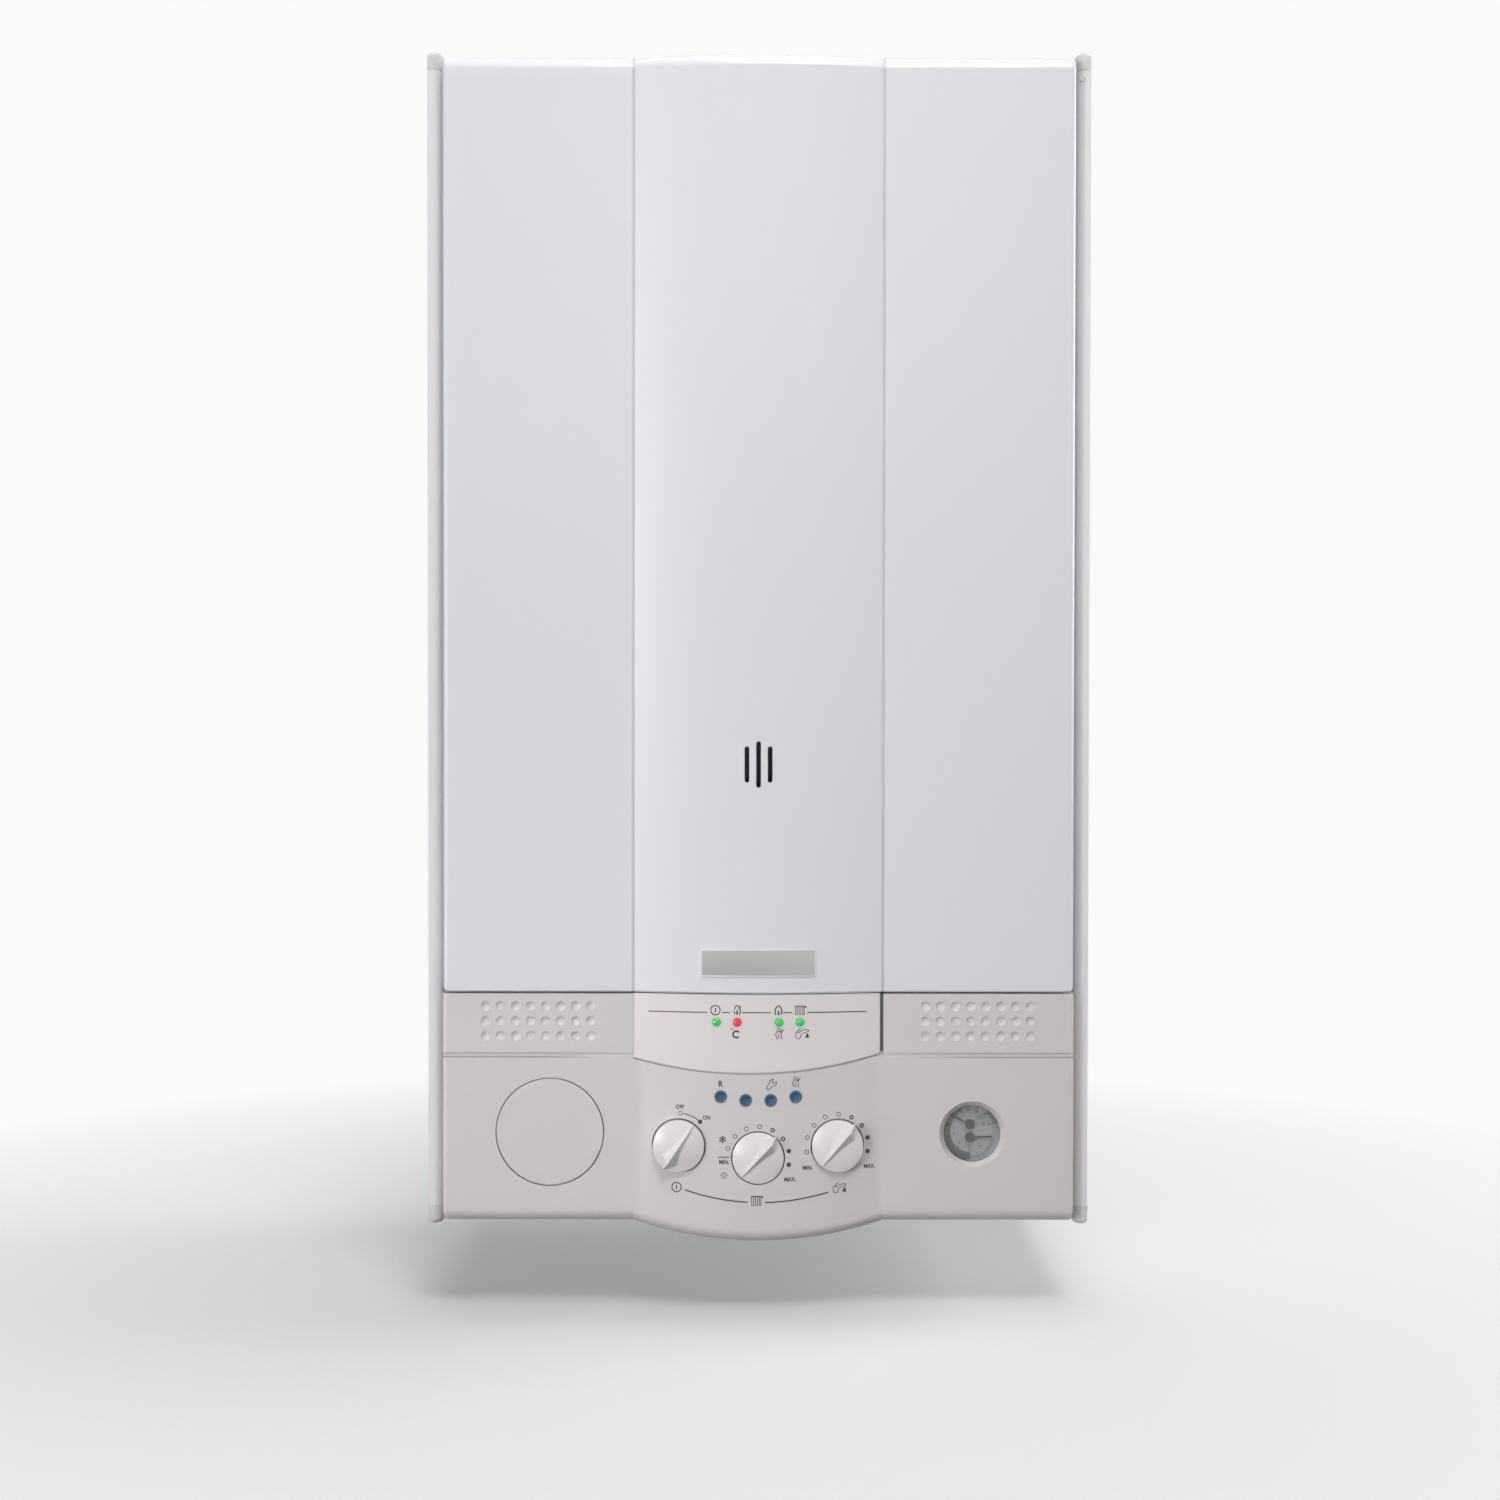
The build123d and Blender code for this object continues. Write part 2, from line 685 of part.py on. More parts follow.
def top_plate():
    """Top of the casing, with side flanges and the opening for the flue collar."""
    plate = block(-inner_x, inner_x, panel_gap, rail_nose, plate_z0, plate_z1)
    flange = block(inner_x - sheet, inner_x, panel_gap + flange_len, rail_return, plate_z0 - foot_h, plate_z1)
    plate += flange + mirror(flange, about=Plane.YZ)
    edge = cover_half - sheet - 0.8
    for x0, x1 in ((-half_w, -edge), (edge, half_w)):
        plate -= block(x0, x1, rail_return, front_depth, plate_z0 - 1, plate_z1 + 1)
    return plate - rod_z(collar_r + collar_play, 0, flue_depth, plate_z0 - 1, plate_z1 + 1)


def bottom_tray():
    """Bottom of the casing with a hole for each pipe end."""
    z0, front, rear = tray_z, tray_front, panel_gap + flange_len
    inside = inner_x - panel_t
    tray = block(-inside, inside, panel_front, front, z0, z0 + sheet)
    tray += block(-inner_x, inner_x, rear, front, z0, z0 + sheet)
    flange = block(inner_x - sheet, inner_x, rear, front, z0, z0 + tray_rim)
    tray += flange + mirror(flange, about=Plane.YZ)
    holes = [
        (-heating_x, stub_depth, heating_r), (heating_x, stub_depth, heating_r),
        (-water_x, stub_depth, water_r), (water_x, stub_depth, water_r), (0, stub_depth, gas_r),
        (tap_x, stub_depth, shaft_r + 2), (relief_x, outlet_depth, outlet_pipe_r), (gland_x, gland_depth, gland_r),
    ]
    for x, depth, r in holes:
        tray -= rod_z(r + hole_play, x, depth, z0 - 1, z0 + 2)
    return tray


def screw(r_head, r_shank, x, d, z, reach):
    """A pan-head screw driven towards the wall, its head on the given depth."""
    head = rod_d(r_head, x, d, d + 0.7 * r_head, z) - block(
        x - r_head, x + r_head, d + 0.4 * r_head, d + r_head, z - 0.4, z + 0.4
    )
    return head + rod_d(r_shank, x, d - reach, d, z)


bar_places = [(i - (burner_bars - 1) / 2) * burner_pitch for i in range(burner_bars)]
chamber_screw_places = [
    (side * (chamber_half - chamber_lip / 2), z)
    for side in (-1, 1)
    for z in (chamber_z0 + screw_inset, (chamber_z0 + chamber_z1) / 2, chamber_z1 - screw_inset)
] + [
    (side * chamber_half / 3, z)
    for side in (-1, 1)
    for z in (chamber_z0 + chamber_lip / 2, chamber_z1 - chamber_lip / 2)
]

def casing_screws():
    """Screws of the chamber's cover and two small ones in the front of the right-hand rail and its cap."""
    reach = chamber_face - chamber_front + 4
    screws = [screw(screw_head_r, screw_r, x, chamber_face, z, reach) for x, z in chamber_screw_places]
    x, front = half_w - rail_screw_x, rail_nose - rail_screw_sunk
    screws += [rod_d(rail_screw_r, x, rail_core, front, z) for z in rail_screw_heights]
    return Compound(children=screws)


def fascia_pivots():
    """Shoulder screws on which the control panel hangs and tilts."""
    pin = rod_x(pivot_r, fascia_half - ear_len - pivot_end, rail_in + sheet, hinge_depth, hinge_z)
    pin += rod_x(pivot_r + 2, fascia_half + fascia_gap / 3, rail_in, hinge_depth, hinge_z)
    pin += rod_x(pivot_r + 2, rail_in + sheet, rail_in + 2.5 * sheet, hinge_depth, hinge_z)
    return Compound(children=both_sides(pin))


# ---- sealed chamber ----
def chamber_shell():
    """Sheet box round the burner and fan, open to the front, with four ears to the side panels."""
    outer = block(-chamber_half, chamber_half, chamber_back, chamber_front, chamber_z0, chamber_z1)
    inside = chamber_half - sheet
    shell = outer - block(
        -inside, inside, chamber_back + sheet, chamber_front - sheet, chamber_z0 + sheet, chamber_z1 - sheet
    )
    mouth = chamber_half - chamber_lip
    shell -= block(
        -mouth, mouth, chamber_front - 2, chamber_front + 1, chamber_z0 + chamber_lip, chamber_z1 - chamber_lip
    )
    for z in (chamber_z0 + ear_inset, chamber_z1 - ear_inset):
        ear = block(chamber_half, inner_x, fire_back, fire_back + ear_w, z, z + 1.5 * sheet)
        shell += ear + mirror(ear, about=Plane.YZ)
    shell -= rod_z(collar_r - 3, 0, flue_depth, chamber_z1 - 2, chamber_z1 + 1)
    for x, depth, r in ((-riser_x, tube_depths[-1], pipe_r), (riser_x, riser_depth, pipe_r),
                        (0, manifold_depth, gas_pipe_r)):
        shell -= rod_z(r + hole_play, x, depth, chamber_z0 - 1, chamber_z0 + 2)
    for x, z in chamber_screw_places:
        shell -= rod_d(screw_r + screw_play, x, chamber_front - 2, chamber_front + 1, z)
    return shell


def chamber_gasket():
    """Flat seal between the chamber's lip and its cover."""
    d0, d1 = chamber_front, chamber_front + gasket_t
    seal = block(-chamber_half, chamber_half, d0, d1, chamber_z0, chamber_z1)
    mouth = chamber_half - chamber_lip
    seal -= block(-mouth, mouth, d0 - 1, d1 + 1, chamber_z0 + chamber_lip, chamber_z1 - chamber_lip)
    for x, z in chamber_screw_places:
        seal -= rod_d(screw_r + screw_play, x, d0 - 1, d1 + 1, z)
    return seal


def chamber_cover():
    """Front plate of the chamber with a round window."""
    d0, d1 = chamber_front + gasket_t, chamber_face
    plate = block(-chamber_half, chamber_half, d0, d1, chamber_z0, chamber_z1)
    plate -= rod_d(window_r, 0, d0 - 1, d1 + 1, slot_z)
    for x, z in chamber_screw_places:
        plate -= rod_d(screw_r + screw_play, x, d0 - 1, d1 + 1, z)
    return plate


def sight_glass():
    """Glass disc behind the slots of the front cover."""
    return rod_d(window_r + window_rim, 0, chamber_face, chamber_face + window_t, slot_z)


def combustion_chamber():
    """Sheet-steel fire box, open above and below."""
    box = block(-fire_half, fire_half, fire_back, fire_front, fire_z0, fire_z1)
    inner = fire_half - sheet
    box -= block(-inner, inner, fire_back + sheet, fire_front - sheet, fire_z0 - 1, fire_z1 + 1)
    return box - front_openings(fire_front - sheet - 1, fire_front + 1)


def front_openings(d0, d1):
    """Window and electrode holes through the front of the fire box."""
    cut = block(-window_r, window_r, d0, d1, slot_z - window_r / 2, slot_z + window_r)
    for x in electrode_places:
        cut += rod_d(electrode_r + electrode_play, x, d0, d1, slot_z)
    return cut


def insulation_boards():
    """Ceramic fibre boards that line the fire box."""
    inside, back, front = fire_half - sheet, fire_back + sheet, fire_front - sheet
    side = block(inside - board_wall, inside, back, front, fire_z0, fire_z1)
    rear = block(board_wall - inside, inside - board_wall, back, back + board_wall, fire_z0, fire_z1)
    face = block(board_wall - inside, inside - board_wall, front - board_wall, front, fire_z0, fire_z1)
    face -= front_openings(front - board_wall - 1, front + 1)
    return Compound(children=both_sides(side) + [rear, face])


def burner():
    """Row of burner bars between two side plates that stand on the chamber's floor."""
    floor, top, inner = chamber_z0 + sheet, fire_z0, fire_half - burner_foot
    plate = block(inner, fire_half, fire_back + 4 * sheet, fire_front - 4 * sheet, floor, top)
    frame = plate + mirror(plate, about=Plane.YZ)
    bars_back, bars_front = fire_back + tube_inset, fire_front - tube_inset
    bar_top = top - 3 * sheet
    bar_z0 = bar_top - burner_bar_h
    for depth in (bars_back + burner_foot / 2, bars_front - burner_foot):
        frame += block(-inner, inner, depth, depth + burner_foot / 2, top - 2 * burner_foot, top - burner_foot)
    for x in bar_places:
        bar = block(x - burner_bar_w / 2, x + burner_bar_w / 2, bars_back, bars_front, bar_z0, bar_top)
        for port in (x - burner_bar_w / 4, x + burner_bar_w / 4):
            bar -= block(
                port - port_w / 2, port + port_w / 2, bars_back + 6, bars_front - 6, bar_top - 2 * sheet, top
            )
        frame += bar - rod_d(1.5 * nozzle_r, x, bars_front - 3 * nozzle_r, bars_front + 1, nozzle_z)
    return frame


def gas_manifold():
    """Square gas bar with one nozzle for each burner bar, on two feet."""
    half, side = bar_places[-1] + burner_pitch / 2, manifold_w / 2
    back = manifold_depth - side
    bar = block(-half, half, back, manifold_depth + side, nozzle_z - side, nozzle_z + side)
    foot = block(half - side, half, back, manifold_depth + side, chamber_z0 + sheet, nozzle_z)
    bar += foot + mirror(foot, about=Plane.YZ)
    for x in bar_places:
        bar += rod_d(nozzle_r, x, back - 2 * nozzle_r, back, nozzle_z)
    return bar


def electrodes():
    """Two ignition electrodes and a flame probe in the front of the fire box."""
    pieces = []
    for x in electrode_places:
        back = fire_front - electrode_back
        body = rod_d(electrode_r, x, back, fire_front + electrode_front, slot_z)
        body += rod_d(2 * electrode_r, x, fire_front, fire_front + electrode_collar, slot_z)
        pieces.append(body + rod_d(electrode_wire_r, x, fire_front - electrode_len, back, slot_z))
    return Compound(children=pieces)


def heat_exchanger():
    """Copper fins on five water tubes joined by return bends."""
    end, back, front = fire_half, fire_back + sheet, fire_front - sheet
    core = block(-end, end, fire_back, fire_front, fire_z1, exchanger_z1)
    core -= block(2 * sheet - end, end - 2 * sheet, back, front, fire_z1 - 1, exchanger_z1 + 1)
    for i in range(fin_count):
        x = (i / (fin_count - 1) - 0.5) * 2 * (end - burner_foot)
        core += block(x - fin_t / 2, x + fin_t / 2, back, front, fire_z1 + fin_inset, exchanger_z1 - fin_inset)
    for depth in tube_depths:
        core += rod_x(tube_r, -end, end, depth, tube_z)
    for i in range(tube_count - 1):
        side = -1 if i % 2 == 0 else 1
        near, far = tube_depths[i], tube_depths[i + 1]
        start, reach = side * (end - 1), side * (end + 1.75 * tube_r)
        bend = min(1.25 * tube_r, tube_pitch / 2 - 0.1)
        core += pipe(
            tube_r, bend, (start, near, tube_z), (reach, near, tube_z), (reach, far, tube_z), (start, far, tube_z)
        )
    return core


def hood_shape(inset):
    """Filled hood and duct; inset gives their inside."""
    mouth = Rectangle(2 * (fire_half - inset), fire_front - fire_back - 2 * inset)
    neck = Rectangle(2 * (fan_inlet_r + duct_edge - inset), duct_w - 2 * inset)
    low = Pos(0, -(fire_back + fire_front) / 2, exchanger_z1) * mouth
    high = Pos(fan_x, -(fire_back + duct_w / 2), exchanger_z1 + hood_rise) * neck
    duct_h = fan_rise - hood_rise + fan_inlet_r + duct_edge - inset
    return loft([low, high], ruled=True) + extrude(high, amount=duct_h)


def flue_hood():
    """Sheet hood that gathers the flue gas into a flat duct behind the fan."""
    hood = hood_shape(0.0) - hood_shape(sheet)
    return hood - rod_d(fan_inlet_r, fan_x, fan_back - 2 * sheet, fan_back + 1, fan_z)


def fan_housing():
    """Scroll housing with its outlet upwards to the flue socket."""
    top, neck_r = chamber_z1 - spoke_h / 2 - outlet_gap, outlet_r - outlet_neck
    scroll = rod_d(fan_r, fan_x, fan_back, fan_front, fan_z) + rod_z(neck_r, 0, flue_depth, fan_z, top)
    scroll += rod_z(outlet_r, 0, flue_depth, fan_z + fan_r - 2 * fan_wall, top)
    inside = rod_d(fan_r - fan_wall, fan_x, fan_back + fan_wall, fan_front - fan_wall, fan_z)
    scroll -= inside + rod_z(neck_r - fan_wall, 0, flue_depth, fan_z, top + 1)
    scroll -= rod_d(fan_inlet_r, fan_x, fan_back - 1, fan_back + fan_wall + 1, fan_z)
    return scroll - rod_d(3 * shaft_r, fan_x, fan_front - fan_wall - 1, fan_front + 1, fan_z)


def fan_motor():
    """Fan motor bolted to the front of the scroll."""
    step, end = fan_front + 0.74 * motor_len, fan_front + motor_len
    motor = rod_d(motor_r, fan_x, fan_front, step, fan_z) + rod_d(0.72 * motor_r, fan_x, step, end, fan_z)
    plug = motor_r / 3
    motor += block(
        fan_x - plug, fan_x + plug, fan_front + plug / 2, fan_front + 2 * plug, fan_z + motor_r - plug / 2,
        fan_z + motor_r + plug / 2,
    )
    return motor - rod_d(shaft_r + shaft_play, fan_x, fan_front - 1, fan_front + shaft_hold + 2, fan_z)


def fan_impeller():
    """Bladed wheel and its shaft, which turns in the motor."""
    rim_d = fan_back + 2 * fan_wall
    plate_d = fan_front - 3 * fan_wall
    eye_r = fan_inlet_r + fan_wall
    wheel = rod_d(impeller_r, fan_x, rim_d, rim_d + rim_t, fan_z) - rod_d(
        eye_r, fan_x, rim_d - 1, rim_d + rim_t + 1, fan_z
    )
    wheel += rod_d(impeller_r, fan_x, plate_d - rim_t, plate_d, fan_z)
    wheel += rod_d(3 * shaft_r, fan_x, plate_d - 8 * rim_t, plate_d, fan_z)
    blade = Box(impeller_r - eye_r - 0.6, plate_d - rim_d - rim_t / 2, blade_t)
    for i in range(fan_blades):
        turn = Rot(0, i * 360 / fan_blades, 0) * Pos((impeller_r + eye_r) / 2, 0, 0) * Rot(0, 25, 0)
        wheel += Pos(fan_x, -(plate_d + rim_d) / 2, fan_z) * turn * blade
    return wheel + rod_d(shaft_r, fan_x, plate_d, fan_front + shaft_hold, fan_z)


def tube_up(r, wall, d, z0, z1):
    """An upright tube on the boiler's middle plane."""
    return rod_z(r, 0, d, z0, z1) - rod_z(r - wall, 0, d, z0 - 1, z1 + 1)


def flue_collar():
    """Twin flue connection: a socket for the flue pipe inside the air-intake collar."""
    z0, z1 = chamber_z1, plate_z1 + collar_h
    mid = flue_r + collar_wall
    collar = tube_up(collar_r, collar_wall, flue_depth, z0, z1)
    collar += tube_up(flange_r, flange_r - collar_r + collar_wall, flue_depth, plate_z1, plate_z1 + flange_t)
    collar += tube_up(mid, collar_wall, flue_depth, z0 - spoke_h / 2, z1)
    reach = collar_r - collar_wall / 2 - mid + collar_wall / 2
    for i in range(3):
        spoke = Pos(mid + (reach - collar_wall) / 2, 0, z0 + spoke_h / 2) * Box(reach, spoke_t, spoke_h)
        collar += Pos(0, -flue_depth, 0) * Rot(0, 0, 90 + 120 * i) * spoke
    return collar


# ---- hydraulics ----
def vessel_shape(inset):
    """Filled vessel; inset gives its inside."""
    half = inner_x - vessel_inset - inset
    z0, z1 = vessel_z0 + inset, vessel_z0 + vessel_h - inset
    body = block(-half, half, panel_front + inset, panel_front + vessel_depth - inset, z0, z1)
    body = fillet(body.edges().filter_by(Axis.Y), vessel_corner - inset)
    return fillet(body.faces().sort_by(Axis.Y)[0].edges(), vessel_round - inset)


def expansion_vessel():
    """Flat steel expansion vessel on the back panel."""
    return vessel_shape(0.0) - vessel_shape(1.5 * sheet)


def plate_exchanger():
    """Brazed stack of plates that heats the tap water."""
    z0, z1 = block_z0 + plate_edge, block_z1 - plate_edge
    stack = block(-plate_half, plate_half, stack_back + 2 * sheet, stack_front - 2 * sheet, z0, z1)
    for i in range(plate_count):
        z = z0 + (i + 0.25) * (z1 - z0) / plate_count
        stack += block(sheet - plate_half, plate_half - sheet, stack_back, stack_front, z, z + plate_t)
    return stack


def diverter_valve():
    """Brass flow block with the three-way valve."""
    port_r = pipe_r + pipe_port
    body = block(-riser_x - port_r, -plate_half, block_depth, stub_depth, block_z0, block_z1)
    body = fillet(body.edges().filter_by(Axis.Z), block_round)
    body += rod_z(valve_r, -heating_x, stub_depth, block_z0, valve_z)
    return body + rod_z(port_r, -riser_x, riser_depth, (block_z0 + block_z1) / 2, valve_port_z)


def diverter_motor():
    """Synchronous motor that shifts the three-way valve."""
    back, front = stub_depth - 0.8 * valve_r, stub_depth + 1.1 * valve_r
    body = block(-heating_x - valve_r, valve_r - heating_x, back, front, valve_z, valve_z + valve_motor)
    return fillet(body.edges().filter_by(Axis.Z), block_round)


def pump_body():
    """Cast return block with the pump's volute and its air vent."""
    side, back, front = relief_x + relief_r + 2 * sheet, riser_depth - pump_back, riser_depth + pump_front
    body = block(plate_half, side, block_depth, front, block_z0, block_z1)
    body = fillet(body.edges().filter_by(Axis.Z), block_round)
    body += block(plate_half, side, front - 16 * sheet, block_front, block_z0, pump_z - pump_r - 2 * sheet)
    body += rod_d(pump_r, heating_x, back, front, pump_z)
    body += rod_z(pipe_r + pipe_port, riser_x, riser_depth, pump_z, return_port_z)
    vent_x, neck = heating_x - 2 * pipe_r - 2 * sheet, pump_z + pump_r + 3 * sheet
    body += rod_z(vent_r - 3 * sheet, vent_x, riser_depth, pump_z, neck)
    body += rod_z(vent_r, vent_x, riser_depth, neck, pump_z + vent_h)
    body -= rod_d(pump_r - pump_wall, heating_x, back + pump_wall, front + 1, pump_z)
    return body - rod_d(relief_bore + shaft_play, relief_x, block_front - relief_hold - 1, block_front + 1, relief_z)


def pump_motor():
    """Canned pump motor with its terminal box, spigoted into the volute."""
    back = riser_depth + pump_front
    end = min(back + pump_motor_len, solenoid_front - cap_len)
    r = pump_r - 4 * sheet
    motor = rod_d(r, heating_x, back, end, pump_z)
    motor += rod_d(pump_r - pump_wall - spigot_play, heating_x, back - pump_wall + sheet, back, pump_z)
    motor += rod_d(r / 3, heating_x, end, end + cap_len, pump_z)
    motor += block(
        heating_x - 0.65 * r, heating_x + 0.65 * r, back + pump_wall, end - 2 * pump_wall, pump_z + 0.75 * r,
        pump_z + 1.35 * r,
    )
    return motor - rod_d(shaft_r + shaft_play, heating_x, back - pump_wall, back + shaft_hold + 2, pump_z)


def pump_impeller():
    """Closed impeller of the pump on the motor's shaft."""
    back, r = riser_depth - pump_back + pump_wall + impeller_gap, pump_r - pump_wall - impeller_gap
    front, hub_r = riser_depth + pump_front - pump_wall - impeller_gap, 2.7 * shaft_r
    wheel = rod_d(r, heating_x, back, back + rim_t, pump_z) + rod_d(hub_r, heating_x, back, front, pump_z)
    wheel += rod_d(r, heating_x, front - rim_t, front, pump_z)
    vane = Box(r - hub_r, front - back - rim_t, rim_t)
    for i in range(pump_vanes):
        turn = Rot(0, i * 360 / pump_vanes, 0) * Pos((r + hub_r) / 2 - 1, 0, 0) * Rot(0, 15, 0)
        wheel += Pos(heating_x, -(back + front) / 2, pump_z) * turn * vane
    return wheel + rod_d(shaft_r, heating_x, front, riser_depth + pump_front + shaft_hold, pump_z)


def pipe_stop(x, r):
    """Flared ring that stops the nut or union on a pipe end."""
    return Pos(x, -stub_depth, tray_z - stop_drop + stop_h / 2) * Cone(r, r + stop_w, stop_h)


def pipe_stub(x, r, top):
    """Pipe end that passes through the bottom of the casing."""
    stub = rod_z(r, x, stub_depth, -stub_drop, top) + pipe_stop(x, r)
    return stub - rod_z(r - bore_wall, x, stub_depth, -stub_drop - 1, top + 1)


def pipe_stubs():
    """Pipe ends of the heating circuit and, bent back to the plate exchanger, of the tap water."""
    route = ((water_x, stub_depth, -stub_drop), (water_x, stub_depth, stack_z), (water_x, stack_front, stack_z))
    water = pipe(water_r, water_bend, *route) + pipe_stop(water_x, water_r)
    water -= pipe(water_r - bore_wall, water_bend, *route)
    return Compound(children=both_sides(pipe_stub(heating_x, heating_r, block_z0)) + both_sides(water))


def exchanger_pipes():
    """Copper pipes from the exchanger down to the flow block and from the pump up to the exchanger."""
    x, front = -riser_x, tube_depths[-1]
    supply = pipe(
        pipe_r, pipe_bend, (-fire_half, front, tube_z), (x, front, tube_z), (x, front, pipe_turn_z),
        (x, riser_depth, pipe_turn_z), (x, riser_depth, valve_port_z),
    )
    back = pipe(
        pipe_r, pipe_bend, (riser_x, riser_depth, return_port_z), (riser_x, riser_depth, tube_z),
        (fire_half, riser_depth, tube_z),
    )
    return Compound(children=[supply, back])


def gas_valve():
    """Gas control block with two solenoids."""
    half = gas_valve_half
    body = block(-half, half, riser_depth, gas_valve_front, gas_valve_z0, gas_valve_z1)
    body = fillet(body.edges().filter_by(Axis.Z), block_round)
    for x in (-half / 2, half / 2):
        body += rod_d(solenoid_r, x, gas_valve_front, solenoid_front, (gas_valve_z0 + gas_valve_z1) / 2)
    return body


def gas_pipes():
    """Gas inlet below the valve and the pipe from the valve up to the manifold."""
    z, end = pipe_turn_z - sheet, nozzle_z - manifold_w / 2
    riser = pipe(
        gas_pipe_r, gas_bend, (0, stub_depth, gas_valve_z1), (0, stub_depth, z), (0, manifold_depth, z),
        (0, manifold_depth, end),
    )
    return Compound(children=[pipe_stub(0, gas_r, gas_valve_z0), riser])


def relief_valve():
    """Pressure relief valve on the return block, with its discharge downwards."""
    body = rod_d(relief_r, relief_x, block_front, relief_front, relief_z)
    body += rod_z(outlet_pipe_r, relief_x, outlet_depth, tray_z - 4 * hole_room, relief_z)
    body += rod_d(relief_bore, relief_x, block_front - relief_hold, block_front, relief_z)
    return body - rod_d(shaft_r + shaft_play, relief_x, relief_front - spindle_hold - 2, relief_front + 1, relief_z)


def relief_knob():
    """Ribbed cap that lifts the relief valve when it is turned."""
    face, rib_r = relief_front + knob_lift, relief_knob_r / 8
    knob = rod_d(relief_knob_r, relief_x, face, face + relief_knob_len, relief_z)
    for i in range(8):
        rib = Rot(90, 0, 0) * Rot(0, 0, i * 45) * Pos(relief_knob_r, 0, 0) * Cylinder(rib_r, relief_knob_len)
        knob += Pos(relief_x, -(face + relief_knob_len / 2), relief_z) * rib
    return knob + rod_d(shaft_r, relief_x, relief_front - spindle_hold, face, relief_z)


def filling_valve():
    """Filling cock between the cold pipe and the return block."""
    body = rod_z(filling_r, tap_x, stub_depth, tap_z0, block_z0)
    body += rod_x(filling_r / 1.5, water_x + water_r, tap_x, stub_depth, (tap_z0 + block_z0) / 2)
    return body - rod_z(shaft_r + shaft_play, tap_x, stub_depth, tap_z0 - 1, tap_z0 + spindle_hold + 2)


def filling_tap():
    """Tap of the filling cock, below the casing."""
    low = tap_top - tap_h
    tap = rod_z(filling_r, tap_x, stub_depth, low, tap_top)
    tap += rod_z(filling_r / 1.5, tap_x, stub_depth, tap_top, tap_top + tap_neck)
    wing = block(tap_x - shaft_r, tap_x + shaft_r, stub_depth - tap_wing, stub_depth + tap_wing, low, tap_top - 2)
    tap += fillet(wing.edges().filter_by(Axis.X), wing_round)
    return tap + rod_z(shaft_r, tap_x, stub_depth, tap_top, tap_z0 + spindle_hold)


def mains_gland():
    """Cable gland in the bottom of the casing."""
    gland = rod_z(gland_r, gland_x, gland_depth, tray_z - 1.5 * gland_r, tray_z + 1.25 * gland_r)
    nut = extrude(RegularPolygon(gland_r + 3.5, 6), amount=nut_h)
    for z in (tray_z - nut_h, tray_z + sheet):
        gland += Pos(gland_x, -gland_depth, z) * nut
    return gland - rod_z(gland_r / 2, gland_x, gland_depth, tray_z - 2 * gland_r, tray_z + 2 * gland_r)


# ---- control panel ----
def strip_edge(gap):
    """Height of the strip's lower edge at its left end, middle and right end, lowered by a gap."""
    left, mid = fascia_z1 - strip_left_drop, fascia_z1 - strip_mid_drop
    return [(-crease_x, left - gap), (0.0, mid - gap), (crease_x, strip_right_z - 1.4 * gap)]


def strip_mask(gap, left, right, top):
    """Front outline of the display strip, as a body through the panel."""
    edge = ThreePointArc(*strip_edge(gap))
    sides = Polyline(edge @ 1, (crease_x, top), (-crease_x, top), edge @ 0)
    mask = extrude(Plane.XZ * make_face(edge + sides), amount=2 * front_depth)
    return mask & block(left, right, 0, 2 * front_depth, 0, 2 * top)


def display_strip():
    """Curved lamp strip in a pocket at the top of the fascia."""
    plan = bow_band(-crease_x, crease_x, -strip_seat, strip_proud)
    band = extrude(Pos(0, 0, fascia_z0) * plan, amount=fascia_z1)
    strip = band & strip_mask(0.0, strip_gap_left - crease_x, strip_end, cover_z0 - strip_gap_top)
    lip = strip.edges().sort_by_distance((0, -bow_depth(0, strip_proud), fascia_z1 - strip_mid_drop))
    strip = fillet(lip[0], min(strip_round, strip_proud + strip_seat - 0.1))
    for x in lamp_x:
        strip -= rod_d(lamp_r + lamp_play, x, fascia_inner, front_depth + 2 * bow_height, lamp_z)
    return strip


def dimples():
    """Rows of shallow round dimples in both side zones."""
    ball_r = (dimple_r**2 + dimple_depth**2) / (2 * dimple_depth)
    depth = front_depth + ball_r - dimple_depth
    balls = []
    for row in range(dimple_rows):
        for column in range(dimple_columns):
            x = fascia_half - dimple_inset - column * dimple_pitch
            z = fascia_z1 - dimple_drop - row * dimple_row_pitch
            balls += [Pos(side * x, -depth, z) * Sphere(ball_r) for side in (-1, 1)]
    return balls


